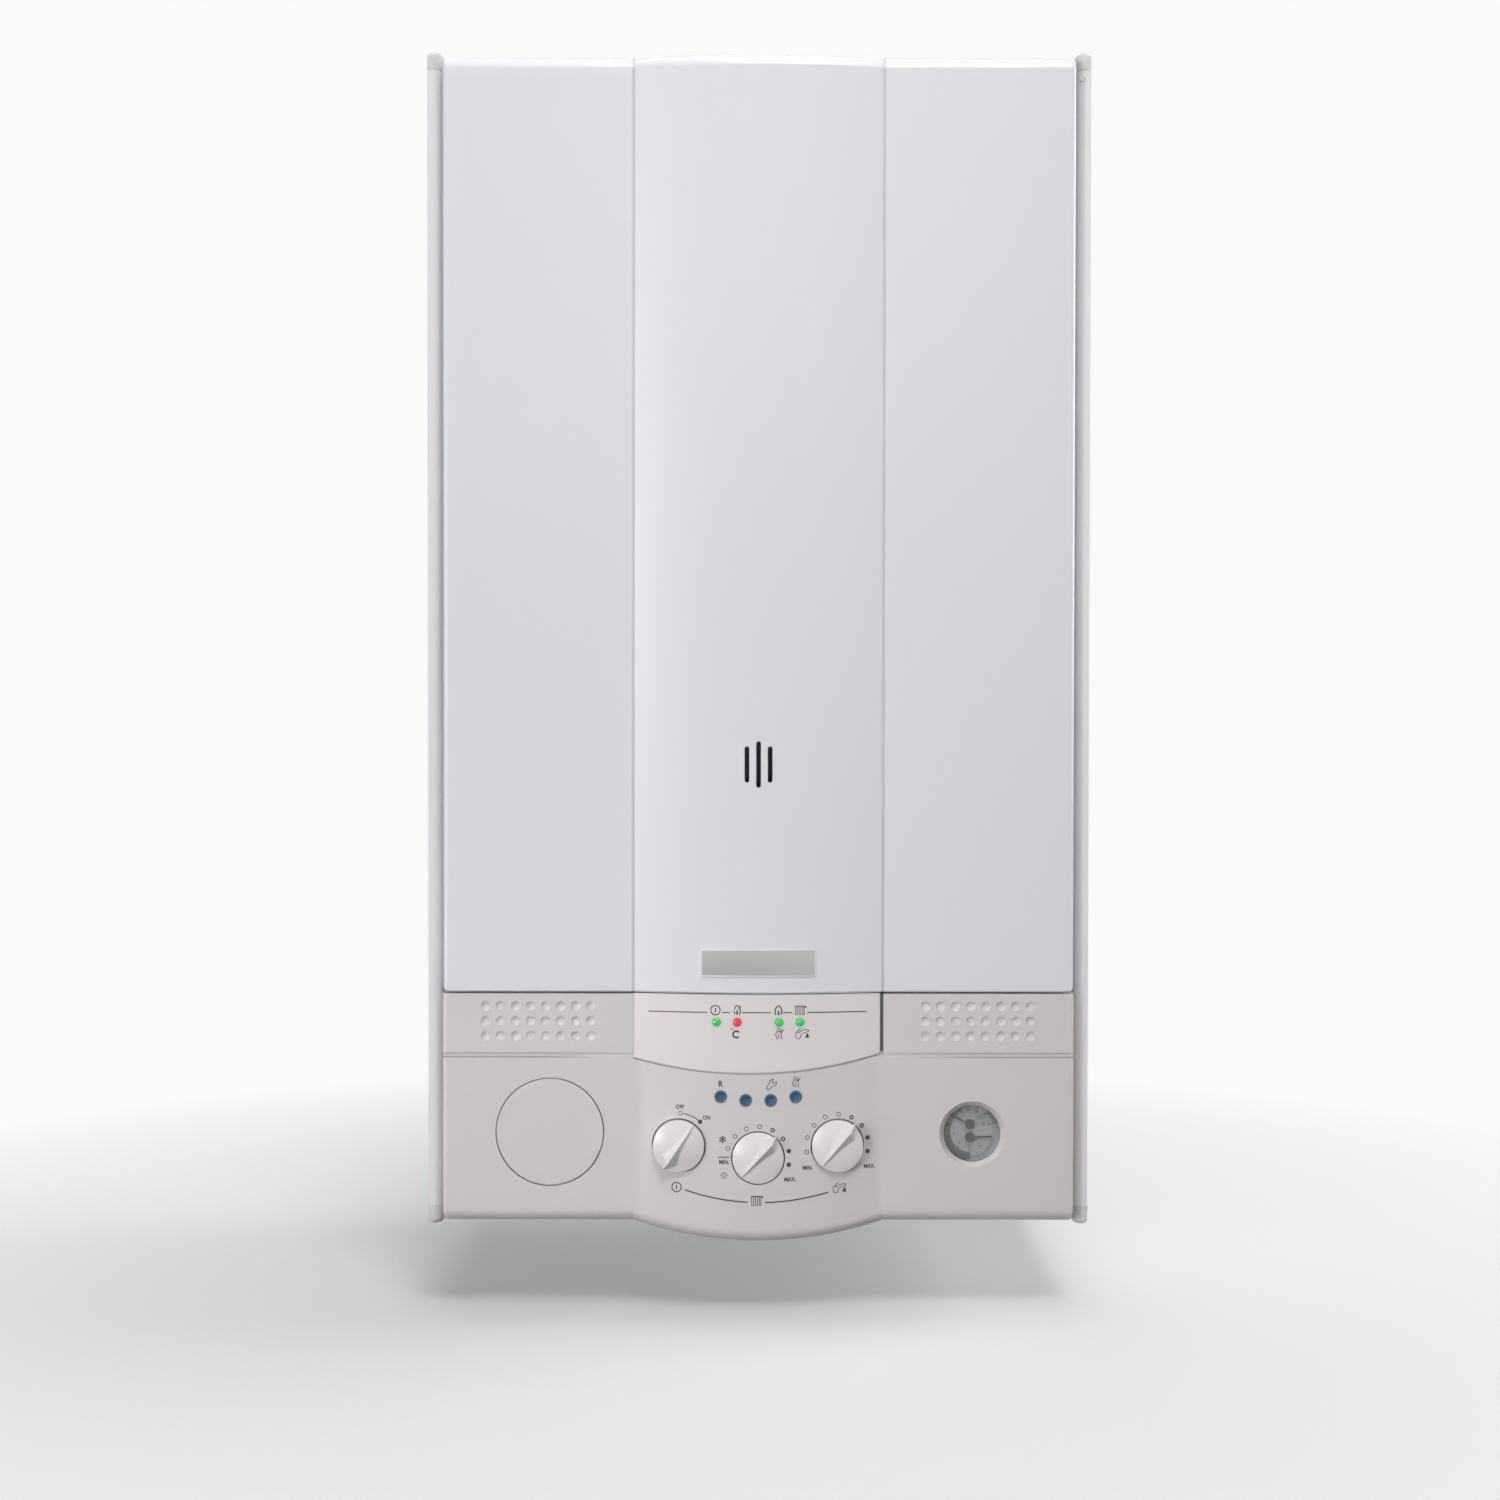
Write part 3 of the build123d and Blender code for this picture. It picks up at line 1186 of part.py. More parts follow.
def fascia():
    """Moulded control panel with all its openings and its two hinge ears."""
    sizes = (fascia_z0, fascia_z1, fascia_belly, fascia_bend, 0.0)
    skin = skin_body(fascia_half, 0.0, fascia_back, *sizes)
    skin -= skin_body(fascia_half, fascia_t, fascia_back - 1, *sizes)
    pocket = extrude(
        Pos(0, 0, fascia_z0) * bow_band(-crease_x, crease_x, -strip_seat, 2 * bow_height), amount=2 * fascia_z1
    )
    skin -= pocket & strip_mask(strip_gap, -crease_x, crease_x, 2 * fascia_z1)
    skin -= block(
        strip_end + strip_gap_left, crease_x + strip_step, front_depth - strip_slot, front_depth + bow_height,
        strip_right_z, fascia_z1 + 1,
    )
    for x0, x1 in ((-fascia_half - 1, -crease_x), (crease_x, fascia_half + 1)):
        skin -= block(x0, x1, front_depth - groove_depth, front_depth + 1, groove_z1 - groove_w, groove_z1)
    skin -= dimples()
    front = front_depth + 2 * bow_height
    skin -= rod_d(timer_r + timer_gap, timer_x, fascia_back, front, timer_z)
    for x, z in knob_places.values():
        skin -= rod_d(knob_r + knob_gap, x, fascia_back, front, z)
    for x, z in zip(button_dx, button_z):
        skin -= rod_d(button_r + button_gap, x, fascia_back, front, z)
    for x in lamp_x:
        skin -= rod_d(lamp_r + lamp_play, x, fascia_back, front, lamp_z)
    cone = Pos(gauge_x, -(front_depth - fascia_t / 2), gauge_z) * Rot(90, 0, 0)
    skin -= cone * Cone(gauge_r, gauge_rim_r, fascia_t)
    wide = pivot_r + 4
    ear = block(
        fascia_half - ear_len, fascia_half, hinge_depth - wide, fascia_back + 2 * wide, hinge_z - wide, hinge_z + wide
    )
    ear = fillet(ear.edges().filter_by(Axis.X).group_by(Axis.Y)[-1], ear_len)
    skin += [ear, mirror(ear, about=Plane.YZ)]
    pin = rod_x(pivot_r + pivot_play, fascia_half - ear_len - 1, fascia_half + 1, hinge_depth, hinge_z)
    return skin - [pin, mirror(pin, about=Plane.YZ)]


def timer_cap():
    """Round blanking cap over the place for a timer, clipped in from behind."""
    cap = rod_d(timer_r, timer_x, fascia_inner, front_depth, timer_z)
    cap = fillet(cap.edges().sort_by(Axis.Y)[0], timer_edge)
    return cap + rod_d(timer_r + timer_lip, timer_x, fascia_inner - timer_lip_t, fascia_inner, timer_z)


def lamp(x):
    """Lamp lens with a domed front."""
    face = bow_depth(abs(x), strip_proud)
    lens = rod_d(lamp_r, x, front_depth, face + lamp_proud, lamp_z)
    return fillet(lens.edges().sort_by(Axis.Y)[0], lamp_round)


def lamp_lenses():
    """Lenses of the four lamps in the display strip."""
    return Compound(children=[lamp(x) for x in lamp_x])


def control_box():
    """Rear housing of the control panel, with posts for the circuit board."""
    inner, back = fascia_inner, box_back
    box = block(-box_half, box_half, back, inner, box_z0, box_z1)
    box = fillet(box.edges().filter_by(Axis.Y), box_round)
    wall = box_half - box_t
    box -= block(-wall, wall, back + box_t, inner + 1, box_z0 + box_t, box_z1 - box_t)
    box -= block(-crease_x - 1, crease_x + 1, inner - rim_step, inner + 1, box_z0 - 1, box_z1 + 1)
    inset = box_t + board_gap + 1.5 * post_r
    for x in (inset - box_half, box_half - inset):
        for z in (box_z0 + inset, box_z1 - inset):
            box += rod_d(post_r, x, back + box_t, board_depth, z)
    return box


def circuit_board():
    """Circuit board with the pots behind the knobs and the switches behind the buttons."""
    half = box_half - box_t - board_gap
    board = block(-half, half, board_depth, board_front, box_z0 + box_t + board_gap, box_z1 - box_t - board_gap)
    for x, z in knob_places.values():
        board += block(
            x - pot_size / 2, x + pot_size / 2, board_front, pot_front, z - pot_size / 2, z + pot_size / 2
        )
        board -= rod_d(shaft_r + shaft_play, x, board_depth - 1, pot_front + 1, z)
    for x, z in zip(button_dx, button_z):
        half_s = switch_size / 2
        board += block(x - half_s, x + half_s, board_front, switch_front, z - half_s, z + half_s)
    return board


def gauge_body():
    """Round housing of the temperature and pressure gauge, with its dial."""
    front = fascia_inner
    dial = front_depth - dial_depth
    body = rod_d(cup_r + gauge_wall, gauge_x, front - gauge_len, front, gauge_z)
    body -= rod_d(cup_r, gauge_x, dial, front + 1, gauge_z)
    for z in hub_heights:
        body -= rod_d(spindle_r + spindle_play, gauge_x + hub_x, dial - needle_hold - 1, dial + 1, z)
    return body


def gauge_glass():
    """Clear disc over the dial."""
    front = fascia_inner - rim_step
    return rod_d(cup_r - glass_play, gauge_x, front - glass_t, front, gauge_z)


def needle(z, length, angle):
    """Pointer with its hub and spindle, turned clockwise from upright."""
    dial, x = front_depth - dial_depth + needle_lift, gauge_x + hub_x
    blade = Pos(0, 0, length / 2) * Box(needle_w, needle_t, length)
    pointer = Pos(x, -(dial + needle_t), z) * Rot(0, angle, 0) * blade
    pointer += rod_d(hub_r, x, dial, dial + hub_t, z)
    return pointer + rod_d(spindle_r, x, dial - needle_lift - needle_hold, dial, z)


def temperature_needle():
    """Upper needle, for the water temperature."""
    return needle(hub_heights[0], needle_up, needle_angles[0])


def pressure_needle():
    """Lower needle, for the water pressure."""
    return needle(hub_heights[1], needle_down, needle_angles[1])


# ---- knobs and buttons ----
def polyhedron(corners, sides):
    """A solid with flat sides, each given as a list of corner numbers."""
    faces = [Face(Wire.make_polygon([corners[i] for i in side], close=True)) for side in sides]
    return Solid(Shell(faces))


def knob(name):
    """Domed round knob with a wedge-shaped grip that rises towards its pointing end."""
    x, z = knob_places[name]
    crown_r = (knob_r**2 + knob_dome**2) / (2 * knob_dome)
    dome = Pos(0, 0, knob_dome - crown_r) * Sphere(crown_r)
    disc = Pos(0, 0, (knob_back - knob_rim) / 2) * Cylinder(knob_r, knob_rim - knob_back)
    disc += dome & Pos(0, 0, knob_dome / 2) * Cylinder(knob_r, knob_dome)
    tail, head, half, narrow = grip_tail_gap - knob_r, knob_r + nib_reach, grip_w / 2, grip_waist_w / 2
    corners = [
        (0, tail, 0), (-narrow, -grip_waist, 0), (-half, grip_shoulder, 0), (0, head, 0),
        (half, grip_shoulder, 0), (narrow, -grip_waist, 0),
        (0, tail + grip_tail_gap, grip_tail_h), (0, grip_crest, grip_head_h),
    ]
    sides = [
        (0, 5, 4, 3, 2, 1), (0, 1, 6), (1, 7, 6), (1, 2, 7), (2, 3, 7), (3, 4, 7), (4, 5, 7), (5, 6, 7), (5, 0, 6),
    ]
    body = disc + polyhedron(corners, sides)
    shaft_end = board_depth + 1
    shaft = Cylinder(shaft_r, knob_back - shaft_end)
    body += Pos(0, 0, (shaft_end + knob_back) / 2 - knob_rim) * shaft
    return Pos(x, -knob_rim, z) * Rot(90, 0, 0) * Rot(0, 0, -knob_angles[name]) * body


def button(i):
    """Round push button with a dished top and a stem to its switch."""
    x, z = button_dx[i], button_z[i]
    face, lip_r = bow_depth(abs(x)) + button_proud, button_r + button_lip
    lip = bow_depth(abs(x) + lip_r) - fascia_t - button_slack
    cap = rod_d(button_r, x, lip - button_lip, face, z)
    cap = chamfer(cap.edges().sort_by(Axis.Y)[0], button_edge)
    dish_r = ((button_r - 2 * button_edge) ** 2 + button_dish**2) / (2 * button_dish)
    cap -= Pos(x, -(face + dish_r - button_dish), z) * Sphere(dish_r)
    cap += rod_d(lip_r, x, lip - button_lip, lip, z)
    return cap + rod_d(button_stem_r, x, switch_front + button_travel, lip, z)


def main():
    """Build every piece and write one STEP file for each."""
    pieces = {
        "wall_bracket": wall_bracket(), "back_frame": back_frame(),
        "side_panel_left": mirror(side_panel(), about=Plane.YZ), 
        "side_panel_right": side_panel() - rail_screw_hole(rail_screw_heights[1]),
        "corner_caps": corner_caps(), "top_plate": top_plate(), "bottom_tray": bottom_tray(),
        "casing_screws": casing_screws(), "fascia_pivots": fascia_pivots(),
        "chamber_shell": chamber_shell(), "chamber_gasket": chamber_gasket(),
        "chamber_cover": chamber_cover(), "sight_glass": sight_glass(),
        "flue_collar": flue_collar(), "flue_hood": flue_hood(), "fan_housing": fan_housing(),
        "fan_motor": fan_motor(), "fan_impeller": fan_impeller(), "heat_exchanger": heat_exchanger(),
        "combustion_chamber": combustion_chamber(), "insulation_boards": insulation_boards(),
        "burner": burner(), "gas_manifold": gas_manifold(), "electrodes": electrodes(),
        "expansion_vessel": expansion_vessel(), "pump_body": pump_body(), "pump_motor": pump_motor(),
        "pump_impeller": pump_impeller(),
        "diverter_valve": diverter_valve(), "diverter_motor": diverter_motor(),
        "plate_exchanger": plate_exchanger(), "exchanger_pipes": exchanger_pipes(),
        "gas_valve": gas_valve(), "gas_pipes": gas_pipes(), "pipe_stubs": pipe_stubs(),
        "relief_valve": relief_valve(), "relief_knob": relief_knob(),
        "filling_valve": filling_valve(), "filling_tap": filling_tap(), "mains_gland": mains_gland(),
        "front_cover": front_cover(), "badge_plate": badge_plate(), "cover_studs": cover_studs(),
        "fascia": fascia(), "display_strip": display_strip(), "timer_cap": timer_cap(),
        "lamp_lenses": lamp_lenses(),
        "control_box": control_box(), "circuit_board": circuit_board(), "gauge_body": gauge_body(),
        "gauge_glass": gauge_glass(), "temperature_needle": temperature_needle(),
        "pressure_needle": pressure_needle(),
    }
    pieces |= {name: knob(name) for name in knob_places}
    pieces |= {name: button(i) for i, name in enumerate(button_names)}
    os.makedirs("parts", exist_ok=True)
    origin = Pos(0, 0, -bolt_z)
    for name, piece in pieces.items():
        export_step(Compound(children=[origin * solid for solid in piece.solids()]), f"parts/{name}.step")


if __name__ == "__main__":
    main()
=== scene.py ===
"""Looks of the wall-hung combi boiler: enamel, mouldings, print, gauge, lamps and the metal inside."""

import json
import logging
import math
from collections.abc import Iterable, Sequence
from dataclasses import dataclass, field
from enum import Enum

import bmesh
import bpy
import numpy as np
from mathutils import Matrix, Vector

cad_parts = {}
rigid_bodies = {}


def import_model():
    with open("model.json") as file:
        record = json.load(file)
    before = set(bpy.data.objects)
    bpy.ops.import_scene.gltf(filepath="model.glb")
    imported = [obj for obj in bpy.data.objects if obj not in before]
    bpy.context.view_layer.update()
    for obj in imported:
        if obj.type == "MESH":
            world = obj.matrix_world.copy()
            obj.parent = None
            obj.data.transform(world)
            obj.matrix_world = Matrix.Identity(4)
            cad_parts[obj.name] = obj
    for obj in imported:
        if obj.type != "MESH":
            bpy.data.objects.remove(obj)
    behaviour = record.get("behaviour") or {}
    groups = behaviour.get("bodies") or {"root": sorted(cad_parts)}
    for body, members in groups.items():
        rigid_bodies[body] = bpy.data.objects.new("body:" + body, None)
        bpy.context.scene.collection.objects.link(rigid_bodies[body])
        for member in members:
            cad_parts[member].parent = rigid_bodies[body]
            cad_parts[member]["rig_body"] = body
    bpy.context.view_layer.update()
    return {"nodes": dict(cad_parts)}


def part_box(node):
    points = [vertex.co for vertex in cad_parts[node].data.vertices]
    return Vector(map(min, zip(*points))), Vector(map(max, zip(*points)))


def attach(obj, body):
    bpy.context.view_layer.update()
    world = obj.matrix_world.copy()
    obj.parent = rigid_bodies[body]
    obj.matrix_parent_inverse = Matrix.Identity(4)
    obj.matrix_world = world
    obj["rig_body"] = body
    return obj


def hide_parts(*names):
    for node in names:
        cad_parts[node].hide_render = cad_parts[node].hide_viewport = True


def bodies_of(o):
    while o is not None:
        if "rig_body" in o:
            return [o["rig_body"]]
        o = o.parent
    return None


log = logging.getLogger("boiler")
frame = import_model()

# Sizes here are in millimetres, measured as in the CAD model's source: X to the right, depth out from
# the wall and height up from the foot of the casing. MM and FOOT turn them into the frame's metres.
MM = 0.001
CASING_H = 727.0
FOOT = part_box("corner_caps")[1].z - CASING_H * MM

Number = float | np.ndarray
Colour = tuple[float, float, float]
Path = np.ndarray | Sequence[Sequence[float]]


def placed(x: Number, depth: Number, z: Number) -> np.ndarray:
    """Points in the frame's metres from X, depth and height in millimetres."""
    x, depth, z = np.broadcast_arrays(x, depth, z)
    return np.stack([x * MM, -depth * MM, z * MM + FOOT], axis=-1).astype(float)


def clock(angle: Number) -> tuple[Number, Number]:
    """Sine and cosine of an angle in degrees that runs clockwise from upright."""
    return np.sin(np.radians(angle)), np.cos(np.radians(angle))


def polar(middle: Sequence[float], r: Number, angle: Number) -> np.ndarray:
    """Points across and up, at a distance and a clockwise angle from a middle."""
    across, up = clock(angle)
    return np.stack([middle[0] + r * across, middle[1] + r * up], axis=-1)


def unit(rows: np.ndarray) -> np.ndarray:
    """Rows scaled to length one; a row of no length stays as it is."""
    return rows / np.maximum(np.linalg.norm(rows, axis=1, keepdims=True), 1e-9)


def gathered(rows: bpy.types.bpy_prop_collection, name: str, width: int = 1, kind: type = float) -> np.ndarray:
    """One property of a mesh's points, corners or faces as an array, in rows when it is wider than one."""
    flat = np.empty(len(rows) * width, dtype=kind)
    rows.foreach_get(name, flat)
    return flat.reshape(-1, width) if width > 1 else flat


def added(name: str, data: bpy.types.ID) -> bpy.types.Object:
    """A new object in the scene."""
    made = bpy.data.objects.new(name, data)
    bpy.context.scene.collection.objects.link(made)
    return made


# ---- shader maths ----
class Signal:
    """A socket that can be used in arithmetic; each operator adds the Math node it needs."""

    def __init__(self, graph: "Graph", socket: bpy.types.NodeSocket) -> None:
        """Keeps the socket and the graph that new nodes go into."""
        self.graph, self.socket = graph, socket

    def math(self, operation: str, *others: "Signal | float") -> "Signal":
        """Adds a Math node that takes this signal and then the others."""
        return self.graph.node("ShaderNodeMath", {"operation": operation}, dict(enumerate([self, *others])))

    def __add__(self, other: "Signal | float") -> "Signal":
        """Sum."""
        return self.math("ADD", other)

    def __sub__(self, other: "Signal | float") -> "Signal":
        """Difference."""
        return self.math("SUBTRACT", other)

    def __rsub__(self, other: float) -> "Signal":
        """Difference from a number."""
        return self.graph.node("ShaderNodeMath", {"operation": "SUBTRACT"}, {0: other, 1: self})

    def __mul__(self, other: "Signal | float") -> "Signal":
        """Product."""
        return self.math("MULTIPLY", other)

    def __truediv__(self, other: "Signal | float") -> "Signal":
        """Quotient."""
        return self.math("DIVIDE", other)

    def above(self, edge: float, blur: float) -> "Signal":
        """Ramp from 0 to 1 that starts at an edge and takes a blur's width."""
        return ((self - edge) / blur).math("MAXIMUM", 0.0).math("MINIMUM", 1.0)


class Graph:
    """The node tree of one material or of the world."""

    def __init__(self, tree: bpy.types.NodeTree) -> None:
        """Clears the tree."""
        self.tree = tree
        tree.nodes.clear()

    def node(self, kind: str, settings: dict, inputs: dict, output: "int | str" = 0) -> Signal:
        """Adds one node.

        Args:
            kind: the node's type.
            settings: its own settings, made before its inputs.
            inputs: numbers, colours or signals for its sockets, by name or number.
            output: the socket that is returned.

        Returns:
            The chosen output.
        """
        made = self.tree.nodes.new(kind)
        for name, value in settings.items():
            setattr(made, name, value)
        for name, value in inputs.items():
            socket = made.inputs[name]
            if isinstance(value, Signal):
                self.tree.links.new(value.socket, socket)
            else:
                socket.default_value = value
        return Signal(self, made.outputs[output])

    def shown(self, shader: Signal, kind: str) -> None:
        """Joins a shader to the tree's output."""
        out = self.tree.nodes.new(kind)
        self.tree.links.new(shader.socket, out.inputs["Surface"])

    def shown_by_sight(self, unseen: Signal, seen: Signal, kind: str) -> None:
        """Joins two shaders to the output: one for the light that falls on things, one for what is seen."""
        kinds = ("Is Camera Ray", "Is Glossy Ray", "Is Transmission Ray")
        camera, glossy, through = (self.node("ShaderNodeLightPath", {}, {}, ray) for ray in kinds)
        sight = camera.math("MAXIMUM", glossy).math("MAXIMUM", through)
        self.shown(self.node("ShaderNodeMixShader", {}, {0: sight, 1: unseen, 2: seen}), kind)

    def place(self, scale: Sequence[float] = (1.0, 1.0, 1.0)) -> Signal:
        """Object coordinates, stretched along the axes."""
        where = self.node("ShaderNodeTexCoord", {}, {}, "Object")
        return self.node("ShaderNodeMapping", {"vector_type": "POINT"}, {"Vector": where, "Scale": scale})

    def along(self, axis: str) -> Signal:
        """One object coordinate, in millimetres."""
        where = self.node("ShaderNodeTexCoord", {}, {}, "Object")
        return self.node("ShaderNodeSeparateXYZ", {}, {"Vector": where}, axis) / MM

    def noise(self, where: Signal, scale: float, detail: float = 2.0) -> Signal:
        """Value of a noise whose grain is one metre over the scale."""
        return self.node("ShaderNodeTexNoise", {}, {"Vector": where, "Scale": scale, "Detail": detail})

    def mixed(self, amount: Signal, low: Colour | Signal, high: Colour) -> Signal:
        """Colour between two others."""
        pair = {0: amount, 6: rgba(low), 7: rgba(high)}
        return self.node("ShaderNodeMix", {"data_type": "RGBA"}, pair, 2)

    def bump(self, height: Signal, strength: float, distance: float) -> Signal:
        """Normal from a height, whose full step is a distance in metres."""
        return self.node("ShaderNodeBump", {}, {"Strength": strength, "Distance": distance, "Height": height})


def new_material(name: str) -> tuple[bpy.types.Material, Graph]:
    """A new material and its empty node tree."""
    made = bpy.data.materials.new(name)
    made.use_nodes = True
    return made, Graph(made.node_tree)


def linear(red: int, green: int, blue: int) -> Colour:
    """Scene colour of an sRGB colour in 0 to 255."""
    share = np.array([red, green, blue]) / 255
    low, high = share / 12.92, ((share + 0.055) / 1.055) ** 2.4
    return tuple(float(v) for v in np.where(share <= 0.04045, low, high))


def rgba(colour: Colour | Signal) -> tuple[float, ...] | Signal:
    """A colour as the sockets take it."""
    return colour if isinstance(colour, Signal) else (*colour, 1.0)


def shade(colour: Colour, by: float) -> Colour:
    """A colour made darker or lighter."""
    return tuple(min(1.0, c * by) for c in colour)


# ---- finishes ----
@dataclass(frozen=True)
class Finish:
    """A surface with one shader; the subclasses say what varies over it."""

    name: str
    colour: Colour
    roughness: float = 0.5

    def surface(self, graph: Graph) -> dict:
        """Inputs of the shader; a subclass replaces or adds to them."""
        return {"Base Color": rgba(self.colour), "Roughness": self.roughness}

    def material(self) -> bpy.types.Material:
        """The finish's material, made once."""
        known = bpy.data.materials.get(self.name)
        if known:
            return known
        made, graph = new_material(self.name)
        graph.shown(graph.node("ShaderNodeBsdfPrincipled", {}, self.surface(graph)), "ShaderNodeOutputMaterial")
        return made


@dataclass(frozen=True)
class Enamel(Finish):
    """Stoved paint on sheet steel, with faint ripple, rub marks and tone."""

    marks: float = 0.03

    def surface(self, graph: Graph) -> dict:
        """Broad tone and rub marks from noise, and the ripple of sprayed paint as bump."""
        where = graph.place()
        tone = graph.noise(where, 7.0, 4.0)
        rub = graph.noise(graph.place((30.0, 30.0, 4.0)), 3.0, 6.0).above(0.58, 0.25)
        ripple = graph.noise(where, 420.0, 1.0)
        return {
            "Base Color": graph.mixed(tone * 0.6 + rub * 0.2, self.colour, shade(self.colour, 1 - self.marks)),
            "Roughness": rub * 0.10 + self.roughness,
            "Normal": graph.bump(ripple, 0.12, 0.00004),
            "Coat Weight": 0.25,
            "Coat Roughness": 0.18,
        }


@dataclass(frozen=True)
class CoverEnamel(Enamel):
    """The enamel of the front cover, with painted shade in the grooves of its two creases."""

    crease: float = 77.0
    half_width: float = 0.9
    core: float = 0.45
    amount: float = 0.55
    dark: float = 0.62

    def surface(self, graph: Graph) -> dict:
        """The enamel, darkened in colour where the distance from the middle is that of a crease: painted shade
        in the groove.
        """
        made = super().surface(graph)
        off = (graph.along("X").math("ABSOLUTE") - self.crease).math("ABSOLUTE")
        # Painted shade: the colour is darkened along each crease groove, where the fold falls into shade.
        crease_shade = 1.0 - off.above(self.half_width * self.core, self.half_width)
        made["Base Color"] = graph.mixed(crease_shade * self.amount, made["Base Color"], shade(self.colour, self.dark))
        return made


@dataclass(frozen=True)
class Badge(Finish):
    """Brushed plate, printed with a soft diagonal shade inside a pale rim."""

    middle: float = 165.0
    half: tuple[float, float] = (35.45, 8.4)
    rim: float = 0.9

    def surface(self, graph: Graph) -> dict:
        """Brush marks over a ramp along the diagonal; the rim is where an edge is nearer than a millimetre."""
        x, z = graph.along("X"), graph.along("Z") - (self.middle + FOOT / MM)
        ramp = ((x * 0.6 + z * 2.2) / self.half[0] + 0.9).above(0.0, 1.7)
        brush = graph.noise(graph.place((1.0, 1.0, 60.0)), 60.0, 4.0)
        side, top = (v.math("ABSOLUTE").above(half - self.rim, 0.2) for v, half in zip((x, z), self.half))
        edge = side.math("MAXIMUM", top)
        plate = graph.mixed(ramp * 0.8 + brush * 0.2, shade(self.colour, 0.66), self.colour)
        return {
            "Base Color": graph.mixed(edge, plate, shade(self.colour, 1.25)),
            "Roughness": brush * 0.12 + self.roughness,
            "Metallic": 0.55,
            "Normal": graph.bump(brush, 0.3, 0.00001),
        }


@dataclass(frozen=True)
class Moulding(Finish):
    """Injection-moulded plastic with a fine spark-eroded grain and a slight uneven tone."""

    grain: float = 0.00002
    marks: float = 0.02

    def surface(self, graph: Graph) -> dict:
        """Fine grain as bump, soft clouds in colour and roughness."""
        where = graph.place()
        cloud = graph.noise(where, 22.0, 3.0)
        fine = graph.noise(where, 2600.0, 1.0)
        speck = graph.noise(where, 900.0, 2.0).above(0.72, 0.04)
        dark = shade(self.colour, 1 - self.marks)
        return {
            "Base Color": graph.mixed(cloud * 0.8 + speck * 0.3, self.colour, dark),
            "Roughness": cloud * 0.08 + (self.roughness - 0.04),
            "Normal": graph.bump(fine, 0.35, self.grain),
        }


@dataclass(frozen=True)
class PanelMoulding(Moulding):
    """The control panel's plastic, with painted shade in the slot beside the strip and in the groove under the
    dimples.
    """

    slot: tuple[float, float] = (74.9, 77.6)
    foot: float = 109.0
    front: float = 299.9
    groove: float = 3.0
    lines: tuple[tuple[float, float], ...] = ((108.2, 0.30), (105.7, 0.65))
    line_width: float = 0.8
    fade: tuple[float, float] = (92.0, 40.0)
    dark: float = 0.28

    def surface(self, graph: Graph) -> dict:
        """The plastic, with painted shade inside the slot and, towards the sides, in both corners of the
        groove.
        """
        made = super().surface(graph)
        x, y, z = (graph.along(axis) for axis in "XYZ")
        # Painted shade: the slot's floor is darkened in colour as if it lay in shadow.
        inside = x.above(self.slot[0], 0.1) * (1.0 - x.above(self.slot[1], 0.1))
        inside = inside * y.above(-self.front, 0.1) * z.above(self.foot + FOOT / MM, 0.5)
        outer = x.math("ABSOLUTE").above(*self.fade) * (1.0 - y.above(self.groove - self.front, 1.0))
        # Painted shade along the groove's two corners, fading before the strip.
        for height, amount in self.lines:
            off = (z - (height + FOOT / MM)).math("ABSOLUTE")
            inside = inside + outer * amount * (1.0 - off.above(self.line_width * 0.25, self.line_width * 0.5))
        made["Base Color"] = graph.mixed(inside, made["Base Color"], shade(self.colour, self.dark))
        return made


class Grain(Enum):
    """How a metal's surface was made."""

    BRUSHED = "brushed"
    GALVANISED = "galvanised"
    CAST = "cast"
    DRAWN = "drawn"


@dataclass(frozen=True)
class Metal(Finish):
    """Bare metal with the marks of its making."""

    grain: Grain = Grain.BRUSHED

    def surface(self, graph: Graph) -> dict:
        """Streaks, crystals, sand texture or drawing haze, in colour, roughness and bump."""
        if self.grain is Grain.GALVANISED:
            cell = graph.node("ShaderNodeTexVoronoi", {}, {"Vector": graph.place(), "Scale": 90.0}, "Color")
            mark, distance = graph.node("ShaderNodeSeparateColor", {}, {"Color": cell}), 0.00001
        else:
            stretch, scale, detail, distance = {
                Grain.BRUSHED: ((1.0, 40.0, 60.0), 60.0, 4.0, 0.00002),
                Grain.CAST: ((1.0, 1.0, 1.0), 900.0, 4.0, 0.0002),
                Grain.DRAWN: ((1.0, 1.0, 1.0), 45.0, 5.0, 0.00001),
            }[self.grain]
            mark = graph.noise(graph.place(stretch), scale, detail)
        return {
            "Base Color": graph.mixed(mark, shade(self.colour, 0.80), self.colour),
            "Roughness": mark * 0.14 + (self.roughness - 0.07),
            "Metallic": 0.65 if self.grain is Grain.CAST else 1.0,
            "Normal": graph.bump(mark, 0.4, distance),
        }


@dataclass(frozen=True)
class Fibre(Finish):
    """Pressed fibre board, soft and matt."""

    def surface(self, graph: Graph) -> dict:
        """Fibres as stretched noise in colour and bump."""
        fibre = graph.noise(graph.place((1.0, 3.0, 0.3)), 700.0, 5.0)
        return {
            "Base Color": graph.mixed(fibre, shade(self.colour, 0.86), self.colour),
            "Roughness": self.roughness,
            "Normal": graph.bump(fibre, 0.6, 0.0004),
        }


@dataclass(frozen=True)
class Laminate(Finish):
    """Circuit board: green lacquer with paler tracks below it."""

    def surface(self, graph: Graph) -> dict:
        """Tracks from the edges of stretched cells."""
        cell = graph.node(
            "ShaderNodeTexVoronoi", {"feature": "DISTANCE_TO_EDGE"},
            {"Vector": graph.place(), "Scale": 160.0, "Randomness": 0.4},
        )
        track = cell.above(0.05, 0.03)
        return {
            "Base Color": graph.mixed(track, shade(self.colour, 1.9), self.colour),
            "Roughness": self.roughness,
            "Normal": graph.bump(track, 0.3, 0.00003),
        }


